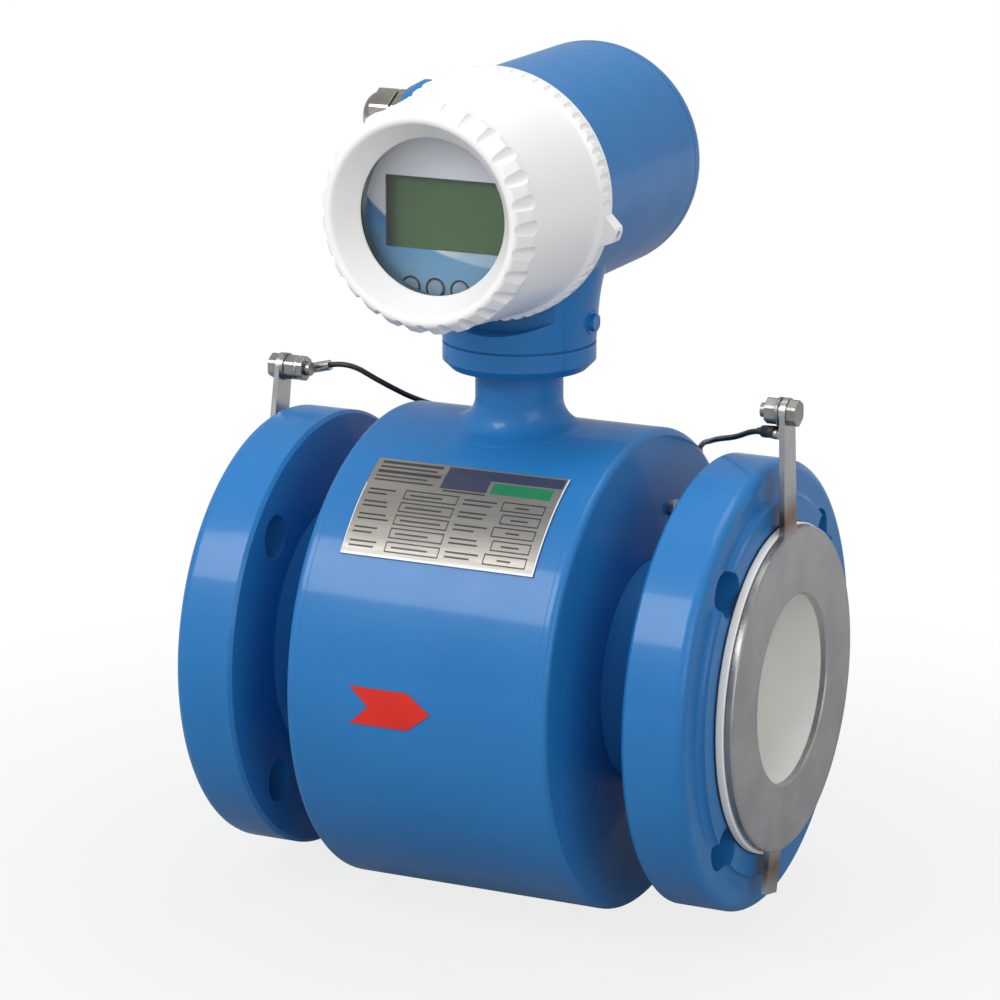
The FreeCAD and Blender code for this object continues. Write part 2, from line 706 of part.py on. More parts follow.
def vent_screw_place(side):
    return around_x(VENT_SCREW_ANGLE, VENT_SCREW_CIRCLE, side * HOUSING_HALF_LENGTH)


def end_plate(side):
    outer = HOUSING_HALF_LENGTH
    edge = END_PLATE_EDGE
    bend = math.sin(math.radians(45))
    plate = turned("x", [
        (outer - END_PLATE_THICKNESS, TUBE_RADIUS + FIT_GAP),
        (outer - END_PLATE_THICKNESS, HOUSING_RADIUS),
        (outer - edge, HOUSING_RADIUS),
        (outer - edge + edge * bend, HOUSING_RADIUS - edge + edge * bend,
         outer, HOUSING_RADIUS - edge),
        (outer, TUBE_RADIUS + FIT_GAP)])
    if side < 0:
        plate = plate.mirror(Vector(0, 0, 0), X_AXIS)
    return plate.cut(rod(vent_screw_place(side), X_AXIS * -side,
                         SMALL_SCREW_RADIUS + FIT_GAP, SMALL_SCREW_DEPTH))


def hex_screw(seat, outward, lift):
    """A small screw whose head stands over its seat by the thickness of what it clamps."""
    start = seat + outward * lift
    head = hexagon(start, outward, SMALL_SCREW_HEAD_WIDTH, SMALL_SCREW_HEAD_HEIGHT)
    shank = rod(start, outward * -1, SMALL_SCREW_RADIUS, SMALL_SCREW_DEPTH - 0.5 + lift)
    return head.fuse(shank)


def vent_screws():
    return group([hex_screw(vent_screw_place(side), X_AXIS * side, 0.0) for side in (-1, 1)])


def earth_screws():
    outward = around_x(EARTH_BOSS_ANGLE, 1, 0)
    return group([hex_screw(earth_boss_top(side), outward, LUG_THICKNESS) for side in (-1, 1)])


def curved_plate(width, centre_x, radius, thickness, top_angle, bottom_angle):
    """A thin sheet wrapped on the front of the housing between two angles from the top."""
    low = centre_x - width / 2
    corners = [Vector(low, 0, radius), Vector(low + width, 0, radius),
               Vector(low + width, 0, radius + thickness), Vector(low, 0, radius + thickness)]
    face = Part.Face(Part.makePolygon(corners + corners[:1]))
    sheet = face.revolve(Vector(0, 0, 0), X_AXIS, bottom_angle - top_angle)
    sheet.rotate(Vector(0, 0, 0), X_AXIS, top_angle)
    return sheet


def name_plate():
    return curved_plate(NAME_PLATE_WIDTH, NAME_PLATE_CENTRE_X, HOUSING_RADIUS + FIT_GAP,
                        NAME_PLATE_THICKNESS, NAME_PLATE_TOP_ANGLE, NAME_PLATE_BOTTOM_ANGLE)


def flow_arrow():
    """A thin notched arrow wrapped on the front of the housing, pointing downstream."""
    half = ARROW_HEIGHT / 2
    shoulder_x = ARROW_TIP_X - ARROW_HEAD
    outline = [(ARROW_TAIL_X, half), (shoulder_x, half), (ARROW_TIP_X, 0), (shoulder_x, -half),
               (ARROW_TAIL_X, -half), (ARROW_TAIL_X + ARROW_NOTCH, 0)]
    corners = [Vector(x, 0, ARROW_Z + z) for x, z in outline]
    prism = Part.Face(Part.makePolygon(corners + corners[:1]))
    inner = HOUSING_RADIUS + FIT_GAP
    prism = prism.extrude(Y_AXIS * -(inner + 5))
    length = ARROW_TIP_X - ARROW_TAIL_X + 2
    skin = tube(Vector(ARROW_TAIL_X - 1, 0, 0), X_AXIS, inner + ARROW_THICKNESS, inner, length)
    return prism.common(skin)


# ---- electrodes and field coils -----------------------------------------------------------
def electrode(side):
    out = Y_AXIS * side
    start = BORE_RADIUS + FIT_GAP
    end = math.sqrt(TUBE_INNER_RADIUS ** 2 - ELECTRODE_HEAD_RADIUS ** 2) - FIT_GAP
    head = rod(out * start, out, ELECTRODE_HEAD_RADIUS, end - start)
    stem = rod(out * start, out, ELECTRODE_STEM_RADIUS, ELECTRODE_END - start)
    return head.fuse(stem).removeSplitter()


def electrode_bushes():
    bushes = []
    for side in (-1, 1):
        out = Y_AXIS * side
        sleeve = rod(out * LINER_RADIUS, out, BUSH_RADIUS, TUBE_RADIUS - LINER_RADIUS)
        collar = rod(out * TUBE_RADIUS, out, BUSH_FLANGE_RADIUS, BUSH_FLANGE_THICKNESS)
        hole = rod(out * BORE_RADIUS, out, ELECTRODE_STEM_RADIUS + FIT_GAP, ELECTRODE_END)
        bushes.append(sleeve.fuse(collar).cut(hole))
    return group(bushes)


def electrode_nuts():
    nuts = []
    for side in (-1, 1):
        out = Y_AXIS * side
        start = out * (TUBE_RADIUS + BUSH_FLANGE_THICKNESS)
        nuts.append(hexagon(start, out, ELECTRODE_NUT_WIDTH, ELECTRODE_NUT_HEIGHT,
                            ELECTRODE_STEM_RADIUS + FIT_GAP))
    return group(nuts)


def pole_piece(side):
    """A shoe wrapped on the tube with a round core on it that reaches the yoke."""
    inner = TUBE_RADIUS + FIT_GAP
    shoe = curved_plate(2 * POLE_SHOE_HALF_LENGTH, 0, inner, POLE_SHOE_THICKNESS,
                        -POLE_SHOE_HALF_ANGLE, POLE_SHOE_HALF_ANGLE)
    core = rod(Vector(0, 0, inner), Z_AXIS, POLE_CORE_RADIUS, CORE_END)
    length = 2 * POLE_SHOE_HALF_LENGTH
    start = Vector(-POLE_SHOE_HALF_LENGTH, 0, 0)
    core = core.common(tube(start, X_AXIS, CORE_END, inner, length))
    body = shoe.fuse(core).removeSplitter()
    return body if side > 0 else body.mirror(Vector(0, 0, 0), Z_AXIS)


def coil(side):
    start = Vector(0, 0, SHOE_RADIUS + FIT_GAP)
    body = tube(start, Z_AXIS, COIL_OUTER_RADIUS, COIL_INNER_RADIUS, COIL_HEIGHT)
    keep = rod(Vector(-COIL_OUTER_RADIUS, 0, 0), X_AXIS, CORE_END, 2 * COIL_OUTER_RADIUS)
    body = body.common(keep)
    return body if side > 0 else body.mirror(Vector(0, 0, 0), Z_AXIS)


def yoke():
    return tube(Vector(-YOKE_HALF_LENGTH, 0, 0), X_AXIS, YOKE_INNER_RADIUS + YOKE_THICKNESS,
                YOKE_INNER_RADIUS, 2 * YOKE_HALF_LENGTH)


def sensor_harness():
    start = Vector(0, 0, YOKE_INNER_RADIUS + YOKE_THICKNESS)
    return rod(start, Z_AXIS, HARNESS_RADIUS, HARNESS_TOP_Z - start.z)


# ---- transmitter case ---------------------------------------------------------------------
def case_outside():
    drum = rod(Vector(0, DRUM_FRONT_Y, HEAD_AXIS_Z), Y_AXIS, DRUM_RADIUS,
               DRUM_BACK_Y - DRUM_FRONT_Y)
    turret = turned("z", [
        (TURRET_BOTTOM_Z, 0), (TURRET_BOTTOM_Z, COLLAR_RADIUS),
        (TURRET_WAIST_Z, TURRET_WAIST_RADIUS),
        (TURRET_FLARE_Z, TURRET_FLARE_RADIUS, TURRET_TOP_Z, TURRET_TOP_RADIUS),
        (TURRET_TOP_Z, 0)])
    far_front = -2 * TURRET_TOP_RADIUS
    sweep = rod(Vector(0, far_front, HEAD_AXIS_Z), Y_AXIS, LUG_SWEEP_RADIUS,
                DRUM_FRONT_Y - far_front)
    turret = turret.cut(sweep)
    boss = Part.makeCylinder(BOSS_RADIUS, -BOSS_END_X, Vector(0, BOSS_Y, BOSS_Z), X_AXIS * -1)
    boss = chamfered_boss(boss)
    return drum.fuse([turret, boss])


def chamfered_boss(boss):
    """The boss with its outer end drawn in by a long shallow chamfer."""
    cone = turned("x", [
        (BOSS_END_X - 1, BOSS_RADIUS - BOSS_CHAMFER_DEPTH),
        (BOSS_END_X - 1, BOSS_RADIUS + 1),
        (BOSS_END_X + BOSS_CHAMFER_LENGTH, BOSS_RADIUS + 1),
        (BOSS_END_X + BOSS_CHAMFER_LENGTH, BOSS_RADIUS),
        (BOSS_END_X, BOSS_RADIUS - BOSS_CHAMFER_DEPTH)], Vector(0, BOSS_Y, BOSS_Z))
    return boss.cut(cone)


def transmitter_case():
    body = case_outside()
    spigot = rod(Vector(0, SPIGOT_FRONT_Y, HEAD_AXIS_Z), Y_AXIS, SPIGOT_RADIUS,
                 DRUM_FRONT_Y - SPIGOT_FRONT_Y)
    body = body.fuse(spigot)
    front = rod(Vector(0, SPIGOT_FRONT_Y, HEAD_AXIS_Z), Y_AXIS, FRONT_CAVITY_RADIUS,
                PARTITION_FRONT_Y - SPIGOT_FRONT_Y)
    rear_start = PARTITION_FRONT_Y + PARTITION_THICKNESS
    rear = rod(Vector(0, rear_start, HEAD_AXIS_Z), Y_AXIS, REAR_CAVITY_RADIUS,
               DRUM_BACK_Y - rear_start)
    throat = rod(Vector(0, 0, TURRET_BOTTOM_Z), Z_AXIS, TURRET_HOLE_RADIUS,
                 HEAD_AXIS_Z - TURRET_BOTTOM_Z)
    inlet = rod(Vector(BOSS_END_X, BOSS_Y, BOSS_Z), X_AXIS, GLAND_HOLE_RADIUS, -BOSS_END_X)
    body = body.cut(front).cut(rear).cut(inlet)
    body = body.cut(throat)
    for place in collar_screw_places():
        start = Vector(place.x, place.y, TURRET_BOTTOM_Z)
        body = body.cut(rod(start, Z_AXIS, COLLAR_SCREW_RADIUS + FIT_GAP,
                            COLLAR_SCREW_DEPTH + 0.5))
    groove = tube(Vector(0, FRONT_SEAL_Y - SEAL_SECTION, HEAD_AXIS_Z), Y_AXIS,
                  SPIGOT_RADIUS + 1, SPIGOT_RADIUS - 2 * SEAL_SECTION, 2 * SEAL_SECTION)
    spot_face = rod(case_earth_place(), X_AXIS, CASE_EARTH_SEAT_RADIUS, TURRET_TOP_RADIUS)
    earth_hole = rod(case_earth_place(), X_AXIS * -1, SMALL_SCREW_RADIUS + FIT_GAP,
                     SMALL_SCREW_DEPTH)
    return body.cut(groove).cut(spot_face).cut(earth_hole)


def case_earth_place():
    """The earth screw's seat, a spot face sunk into the side of the turret."""
    return Vector(COLLAR_RADIUS - CASE_EARTH_SEAT_DEPTH, 0, CASE_EARTH_Z)


def case_earth_screw():
    washer = rod(case_earth_place(), X_AXIS, CASE_EARTH_SEAT_RADIUS - FIT_GAP, 1.0)
    return washer.fuse(hex_screw(case_earth_place(), X_AXIS, 1.0))


def seal_ring(y, outer_radius):
    """A rubber ring of square section with drawn-in corners."""
    low = y - SEAL_SECTION
    inner = outer_radius - 2 * SEAL_SECTION
    cut = 0.4
    return turned("y", [
        (low, inner), (low, outer_radius - cut), (low + cut, outer_radius),
        (y + SEAL_SECTION - cut, outer_radius), (y + SEAL_SECTION, outer_radius - cut),
        (y + SEAL_SECTION, inner)], HEAD_CENTRE)


# ---- front cover and its window -----------------------------------------------------------
def front_cover():
    rim_front = COVER_REAR_Y - COVER_RIM_WIDTH
    bend_r = (FUNNEL_OUTER_RADIUS + COVER_RING_RADIUS) / 2
    body = turned("y", [
        (WINDOW_LIP_Y, WINDOW_RADIUS),
        (WINDOW_LIP_Y - 0.8, WINDOW_RADIUS),
        (COVER_FRONT_Y + 1.2, FUNNEL_OUTER_RADIUS - 0.6),
        (COVER_FRONT_Y, bend_r, COVER_FRONT_Y + 1.4, COVER_RING_RADIUS + 0.6),
        (COVER_SHOULDER_Y - 1.6, COVER_SHOULDER_RADIUS - 0.5),
        (COVER_SHOULDER_Y - 0.4, COVER_SHOULDER_RADIUS + 0.1,
         COVER_SHOULDER_Y + 1.5, COVER_SHOULDER_RADIUS),
        (COVER_SHOULDER_Y + 5.0, COVER_WAIST_RADIUS),
        (rim_front - 2.0, COVER_SKIRT_RADIUS),
        (rim_front, COVER_RIM_RADIUS),
        (COVER_REAR_Y - 0.8, COVER_RIM_RADIUS),
        (COVER_REAR_Y, COVER_RIM_RADIUS - 0.8),
        (COVER_REAR_Y, COVER_BORE + 0.8),
        (COVER_REAR_Y - 0.8, COVER_BORE),
        (SPIGOT_FRONT_Y - 1.0, COVER_BORE),
        (SPIGOT_FRONT_Y - 1.0, RETAINER_BORE),
        (GLASS_BACK_Y, RETAINER_BORE),
        (GLASS_BACK_Y, GLASS_RADIUS + THREAD_GAP),
        (WINDOW_LIP_Y, GLASS_RADIUS + THREAD_GAP)], HEAD_CENTRE)
    body = body.fuse(cover_lug())
    body = body.cut(Part.makeCompound(grip_cutters() + rim_cutters()))
    lock = rod(lock_screw_place(), lug_direction() * -1, LOCK_SCREW_RADIUS + FIT_GAP, 12)
    return body.cut(lock)


def lug_direction():
    angle = math.radians(LUG_ANGLE)
    return Vector(math.cos(angle), 0, math.sin(angle))


def cover_lug():
    """A tapered ear on the rim that holds the locking screw."""
    out = lug_direction()
    side = Vector(-out.z, 0, out.x)
    back = HEAD_CENTRE + Y_AXIS * (COVER_REAR_Y - COVER_RIM_WIDTH)
    root = COVER_BORE + 1.0
    tip = LUG_TIP_RADIUS - 0.5
    low_left = back + out * root - side * (LUG_HALF_WIDTH + 4)
    low_right = back + out * root + side * (LUG_HALF_WIDTH + 4)
    top_right = back + out * tip + side * (LUG_HALF_WIDTH / 2)
    top_left = back + out * tip - side * (LUG_HALF_WIDTH / 2)
    crown = back + out * LUG_TIP_RADIUS
    wire = Part.Wire([
        Part.makeLine(top_left, low_left), Part.makeLine(low_left, low_right),
        Part.makeLine(low_right, top_right), Part.Arc(top_right, crown, top_left).toShape()])
    return Part.Face(wire).extrude(Y_AXIS * (COVER_RIM_WIDTH - 0.4))


def lock_screw_place():
    along = Y_AXIS * (COVER_REAR_Y - COVER_RIM_WIDTH / 2)
    return HEAD_CENTRE + along + lug_direction() * LUG_TIP_RADIUS


def lock_screw():
    out = lug_direction()
    start = lock_screw_place() - out * 1.0
    length = LUG_TIP_RADIUS - 1.0 - COVER_BORE - 0.5
    screw = rod(start, out * -1, LOCK_SCREW_RADIUS, length)
    return screw.cut(hexagon(start - out * 1.5, out, LOCK_SCREW_RADIUS, 1.5))


def grip_cutters():
    """Round flutes across the cover's front shoulder."""
    cutters = []
    slope_start = Vector(0, COVER_FRONT_Y - 2, COVER_RING_RADIUS - 1.5)
    slope_end = Vector(0, COVER_SHOULDER_Y + 6, COVER_SHOULDER_RADIUS + 0.4)
    along = slope_end - slope_start
    length = along.Length
    along.normalize()
    lift = Vector(0, -along.z, along.y) * (GRIP_RADIUS - GRIP_DEPTH)
    flute = rod(slope_start + lift + Vector(0, 0, 1.2), along, GRIP_RADIUS, length)
    flute.translate(HEAD_CENTRE)
    for index in range(GRIP_COUNT):
        cutter = flute.copy()
        cutter.rotate(HEAD_CENTRE, Y_AXIS, 360.0 / GRIP_COUNT * index)
        cutters.append(cutter)
    return cutters


def rim_cutters():
    """Fine flutes round the cover's rear rim, left out where the lug stands."""
    cutters = []
    start_y = COVER_REAR_Y - COVER_RIM_WIDTH - 1
    reach = COVER_RIM_RADIUS + RIM_NOTCH_RADIUS - RIM_NOTCH_DEPTH
    for index in range(RIM_NOTCH_COUNT):
        angle = 360.0 / RIM_NOTCH_COUNT * index
        away = abs((angle - LUG_ANGLE + 180) % 360 - 180)
        if away < 12:
            continue
        turn = math.radians(angle)
        start = HEAD_CENTRE + Vector(reach * math.cos(turn), start_y, reach * math.sin(turn))
        cutters.append(rod(start, Y_AXIS, RIM_NOTCH_RADIUS, RIM_NOTCH_LENGTH + 1))
    return cutters


def window_glass():
    return rod(HEAD_CENTRE + Y_AXIS * GLASS_FRONT_Y, Y_AXIS, GLASS_RADIUS, GLASS_THICKNESS)


def window_gasket():
    return tube(HEAD_CENTRE + Y_AXIS * WINDOW_LIP_Y, Y_AXIS, GLASS_RADIUS,
                WINDOW_RADIUS + 0.6, GLASS_GASKET_THICKNESS)


def glass_retainer():
    ring = tube(HEAD_CENTRE + Y_AXIS * GLASS_BACK_Y, Y_AXIS, RETAINER_BORE - THREAD_GAP,
                RETAINER_INNER_RADIUS, RETAINER_THICKNESS)
    slots = []
    for side in (-1, 1):
        reach = (RETAINER_BORE + RETAINER_INNER_RADIUS) / 2
        start = HEAD_CENTRE + Vector(side * reach, RETAINER_BACK_Y - 2, 0)
        slots.append(rod(start, Y_AXIS, 1.5, 3))
    return ring.cut(group(slots))


# ---- rear cover ---------------------------------------------------------------------------
def rear_cover():
    flange_y = DRUM_BACK_Y + REAR_COVER_SEAM
    edge = REAR_COVER_EDGE
    bend = math.sin(math.radians(45))
    thread_y = DRUM_BACK_Y - REAR_COVER_THREAD_LENGTH
    inner = REAR_THREAD_RADIUS - REAR_COVER_WALL
    groove = SEAL_SECTION + 0.15
    floor_radius = REAR_THREAD_RADIUS - 2 * SEAL_SECTION - 0.3
    body = turned("y", [
        (REAR_COVER_Y - REAR_COVER_WALL, 0), (REAR_COVER_Y, 0),
        (REAR_COVER_Y, DRUM_RADIUS - edge),
        (REAR_COVER_Y - edge * (1 - bend), DRUM_RADIUS - edge * (1 - bend),
         REAR_COVER_Y - edge, DRUM_RADIUS),
        (flange_y, DRUM_RADIUS), (flange_y, REAR_THREAD_RADIUS),
        (REAR_SEAL_Y + groove, REAR_THREAD_RADIUS), (REAR_SEAL_Y + groove, floor_radius),
        (REAR_SEAL_Y - groove, floor_radius), (REAR_SEAL_Y - groove, REAR_THREAD_RADIUS),
        (thread_y, REAR_THREAD_RADIUS), (thread_y, inner),
        (REAR_COVER_Y - REAR_COVER_WALL - 3, inner),
        (REAR_COVER_Y - REAR_COVER_WALL, inner - 3)], HEAD_CENTRE)
    for side in (-1, 1):
        start = HEAD_CENTRE + Vector(side * SPANNER_HOLE_CIRCLE,
                                     REAR_COVER_Y - SPANNER_HOLE_DEPTH, 0)
        body = body.cut(rod(start, Y_AXIS, SPANNER_HOLE_RADIUS, SPANNER_HOLE_DEPTH + 1))
    return body


# ---- display ------------------------------------------------------------------------------
def key_x(index):
    return (index - (KEY_COUNT - 1) / 2) * KEY_PITCH


def face_plate():
    plate = rod(HEAD_CENTRE + Y_AXIS * FACE_PLATE_Y, Y_AXIS, FACE_PLATE_RADIUS,
                FACE_PLATE_THICKNESS)
    half_width = LCD_WIDTH / 2 + FIT_GAP
    half_height = LCD_HEIGHT / 2 + FIT_GAP
    window = box(Vector(-half_width, FACE_PLATE_Y - 1, LCD_Z - half_height),
                 Vector(half_width, FACE_PLATE_BACK_Y + 1, LCD_Z + half_height))
    plate = plate.cut(window)
    for index in range(KEY_COUNT):
        start = Vector(key_x(index), FACE_PLATE_Y - 1, KEY_Z)
        plate = plate.cut(rod(start, Y_AXIS, KEY_RADIUS + KEY_GAP, FACE_PLATE_THICKNESS + 2))
    return plate


def lcd_module():
    half_width = LCD_WIDTH / 2
    half_height = LCD_HEIGHT / 2
    glass = box(Vector(-half_width, FACE_PLATE_Y + LCD_RECESS, LCD_Z - half_height),
                Vector(half_width, DISPLAY_BOARD_Y, LCD_Z + half_height))
    frame = box(Vector(-half_width - LCD_FRAME, FACE_PLATE_BACK_Y, LCD_Z - half_height - LCD_FRAME),
                Vector(half_width + LCD_FRAME, DISPLAY_BOARD_Y, LCD_Z + half_height + LCD_FRAME))
    return glass.fuse(frame)


def key(index):
    """A round push key with a drawn-in cap edge and a flange behind the face plate."""
    start_y = FACE_PLATE_Y - KEY_PROUD
    flange_y = FACE_PLATE_BACK_Y + KEY_GAP
    bottom_y = DISPLAY_BOARD_Y - KEY_SWITCH_HEIGHT - KEY_TRAVEL - KEY_GAP
    flange_radius = KEY_RADIUS + KEY_FLANGE
    return turned("y", [
        (start_y, 0), (start_y, KEY_RADIUS - KEY_EDGE), (start_y + KEY_EDGE, KEY_RADIUS),
        (flange_y, KEY_RADIUS), (flange_y, flange_radius),
        (flange_y + KEY_FLANGE_THICKNESS, flange_radius),
        (flange_y + KEY_FLANGE_THICKNESS, KEY_RADIUS),
        (bottom_y, KEY_RADIUS), (bottom_y, 0)], Vector(key_x(index), 0, KEY_Z))


def board_disc(y):
    disc = rod(HEAD_CENTRE + Y_AXIS * y, Y_AXIS, BOARD_RADIUS, BOARD_THICKNESS)
    return disc


def standoff_places(y):
    places = []
    for index in range(4):
        angle = math.radians(45 + 90 * index)
        places.append(HEAD_CENTRE + Vector(STANDOFF_CIRCLE * math.cos(angle), y,
                                           STANDOFF_CIRCLE * math.sin(angle)))
    return places


def spacer_places():
    """Spacers between face plate and display board: left, right and top."""
    centre = HEAD_CENTRE + Y_AXIS * FACE_PLATE_BACK_Y
    return [centre + X_AXIS * SPACER_CIRCLE, centre - X_AXIS * SPACER_CIRCLE,
            centre + Z_AXIS * SPACER_CIRCLE]


def standoffs():
    board_back = DISPLAY_BOARD_Y + BOARD_THICKNESS
    solids = []
    for place in standoff_places(board_back):
        solids.append(rod(place, Y_AXIS, STANDOFF_RADIUS, PARTITION_FRONT_Y - board_back))
    for place in spacer_places():
        solids.append(rod(place, Y_AXIS, STANDOFF_RADIUS, DISPLAY_BOARD_Y - FACE_PLATE_BACK_Y))
    return group(solids)


def display_board():
    board = board_disc(DISPLAY_BOARD_Y)
    half = KEY_SWITCH_WIDTH / 2
    switches = []
    for index in range(KEY_COUNT):
        low = Vector(key_x(index) - half, DISPLAY_BOARD_Y - KEY_SWITCH_HEIGHT, KEY_Z - half)
        high = Vector(key_x(index) + half, DISPLAY_BOARD_Y, KEY_Z + half)
        switches.append(box(low, high))
    return board.fuse(switches)


def main_board():
    board = board_disc(MAIN_BOARD_Y)
    for place in standoff_places(MAIN_BOARD_Y - 1):
        board = board.cut(rod(place, Y_AXIS, STANDOFF_RADIUS + FIT_GAP, BOARD_THICKNESS + 2))
    return board


def board_components():
    """Transformer, capacitors and driver block in front, harness connector behind."""
    face = MAIN_BOARD_Y
    back = MAIN_BOARD_Y + BOARD_THICKNESS
    left = TRANSFORMER_CENTRE_X - TRANSFORMER_WIDTH / 2
    low = HEAD_AXIS_Z + TRANSFORMER_RISE
    transformer = box(Vector(left, face - TRANSFORMER_DEPTH, low),
                      Vector(left + TRANSFORMER_WIDTH, face, low + TRANSFORMER_HEIGHT))
    top = HEAD_AXIS_Z - DRIVER_DROP
    driver = box(Vector(-DRIVER_WIDTH / 2, face - DRIVER_DEPTH, top - DRIVER_HEIGHT),
                 Vector(DRIVER_WIDTH / 2, face, top))
    solids = [transformer, driver]
    for x in (CAPACITOR_FIRST_X, CAPACITOR_FIRST_X + CAPACITOR_PITCH):
        start = Vector(x, face - CAPACITOR_LENGTH, HEAD_AXIS_Z + CAPACITOR_RISE)
        solids.append(rod(start, Y_AXIS, CAPACITOR_RADIUS, CAPACITOR_LENGTH))
    plug_top = HARNESS_TOP_Z + PLUG_OVERLAP
    solids.append(box(Vector(-PLUG_WIDTH / 2, back, plug_top - PLUG_HEIGHT),
                      Vector(PLUG_WIDTH / 2, -HARNESS_RADIUS, plug_top)))
    return group(solids)


def terminal_block():
    start_y = PARTITION_FRONT_Y + PARTITION_THICKNESS
    half = TERMINAL_WIDTH / 2
    low_z = TERMINAL_Z - TERMINAL_HEIGHT / 2
    body = box(Vector(-half, start_y, low_z),
               Vector(half, start_y + TERMINAL_DEPTH, low_z + TERMINAL_HEIGHT))
    for place in terminal_screw_places():
        body = body.cut(rod(place, Y_AXIS, TERMINAL_SCREW_RADIUS + FIT_GAP, TERMINAL_DEPTH))
        entry = Vector(place.x, place.y + TERMINAL_SCREW_SINK / 2, low_z - 1)
        body = body.cut(rod(entry, Z_AXIS, WIRE_HOLE_RADIUS, WIRE_HOLE_DEPTH + 1))
    return body


def terminal_screw_places():
    y = PARTITION_FRONT_Y + PARTITION_THICKNESS + TERMINAL_DEPTH - TERMINAL_SCREW_SINK
    step = TERMINAL_WIDTH / TERMINAL_WAYS
    first = -TERMINAL_WIDTH / 2 + step / 2
    z = TERMINAL_Z + TERMINAL_SCREW_RISE
    return [Vector(first + index * step, y, z) for index in range(TERMINAL_WAYS)]


def terminal_screws():
    slot_start = TERMINAL_SCREW_LENGTH - TERMINAL_SLOT_DEPTH
    half = TERMINAL_SLOT_WIDTH / 2
    wide = TERMINAL_SCREW_RADIUS + 1
    screws = []
    for place in terminal_screw_places():
        screw = rod(place, Y_AXIS, TERMINAL_SCREW_RADIUS, TERMINAL_SCREW_LENGTH)
        slot = box(place + Vector(-wide, slot_start, -half),
                   place + Vector(wide, TERMINAL_SCREW_LENGTH + 1, half))
        screws.append(screw.cut(slot))
    return group(screws)


# ---- cable gland --------------------------------------------------------------------------
GLAND_START = Vector(BOSS_END_X, BOSS_Y, BOSS_Z)
GLAND_OUT = X_AXIS * -1


def gland_body():
    thread = rod(GLAND_START, X_AXIS, GLAND_HOLE_RADIUS - FIT_GAP, GLAND_THREAD_LENGTH)
    flats = hexagon(GLAND_START, GLAND_OUT, GLAND_HEX_WIDTH, GLAND_BODY_HEX)
    stub_start = GLAND_START + GLAND_OUT * GLAND_BODY_HEX
    stub = rod(stub_start, GLAND_OUT, GLAND_NECK_RADIUS, GLAND_NECK_LENGTH)
    body = thread.fuse([flats, stub])
    bore_length = GLAND_THREAD_LENGTH + GLAND_BODY_HEX + GLAND_NECK_LENGTH
    bore_start = GLAND_START + X_AXIS * GLAND_THREAD_LENGTH
    body = body.cut(rod(bore_start, GLAND_OUT, GLAND_BORE_RADIUS, bore_length + 1))
    return body


def gland_seal():
    """A rubber sleeve in the mouth of the gland body."""
    length = GLAND_NECK_LENGTH
    start = GLAND_START + GLAND_OUT * GLAND_BODY_HEX
    return tube(start, GLAND_OUT, GLAND_BORE_RADIUS - FIT_GAP, GLAND_SEAL_BORE, length)


def gland_nut_start():
    return GLAND_START + GLAND_OUT * (GLAND_BODY_HEX + GLAND_NUT_GAP)


def slip_ring():
    start = GLAND_START + GLAND_OUT * (GLAND_BODY_HEX + GLAND_NECK_LENGTH + KEY_GAP)
    return tube(start, GLAND_OUT, GLAND_NECK_RADIUS - 0.6, GLAND_NUT_MOUTH + 0.6,
                SLIP_RING_THICKNESS)


def gland_nut():
    """A hexagon nut with a domed nose that closes over the slip ring."""
    start = gland_nut_start()
    flats = hexagon(start, GLAND_OUT, GLAND_HEX_WIDTH, GLAND_NUT_HEX)
    nose_x = start.x - GLAND_NUT_HEX
    big = GLAND_HEX_WIDTH / 2 - 0.3
    small = GLAND_NUT_MOUTH + 2.2
    end_x = nose_x - GLAND_NUT_DOME
    nose = turned("x", [
        (nose_x, 0), (nose_x, big),
        (nose_x - GLAND_NUT_DOME * 0.6, big - (big - small) * 0.35, end_x, small),
        (end_x, 0)], Vector(0, BOSS_Y, BOSS_Z))
    body = flats.fuse(nose)
    body = body.cut(rod(start, GLAND_OUT, GLAND_NECK_RADIUS + THREAD_GAP,
                        slip_ring_front() + KEY_GAP))
    return body.cut(rod(start, GLAND_OUT, GLAND_NUT_MOUTH, 60))


def slip_ring_front():
    """How far the slip ring's outer face lies from the nut's open end."""
    return GLAND_NECK_LENGTH - GLAND_NUT_GAP + KEY_GAP + SLIP_RING_THICKNESS


# ---- routes of the two earth leads --------------------------------------------------------
INLET_LEAD_ROUTE = [(-96.7, 30.2, 111.5), (-82.5, 33.4, 103.4), (-69.5, 47.0, 92.6),
                    (-57.6, 69.8, 84.4)]
OUTLET_LEAD_ROUTE = [(106.0, 0.2, 109.5), (95.0, 9.5, 104.5), (81.5, 26.0, 99.0),
                     (67.5, 46.0, 93.8), (56.4, 70.8, 83.2)]


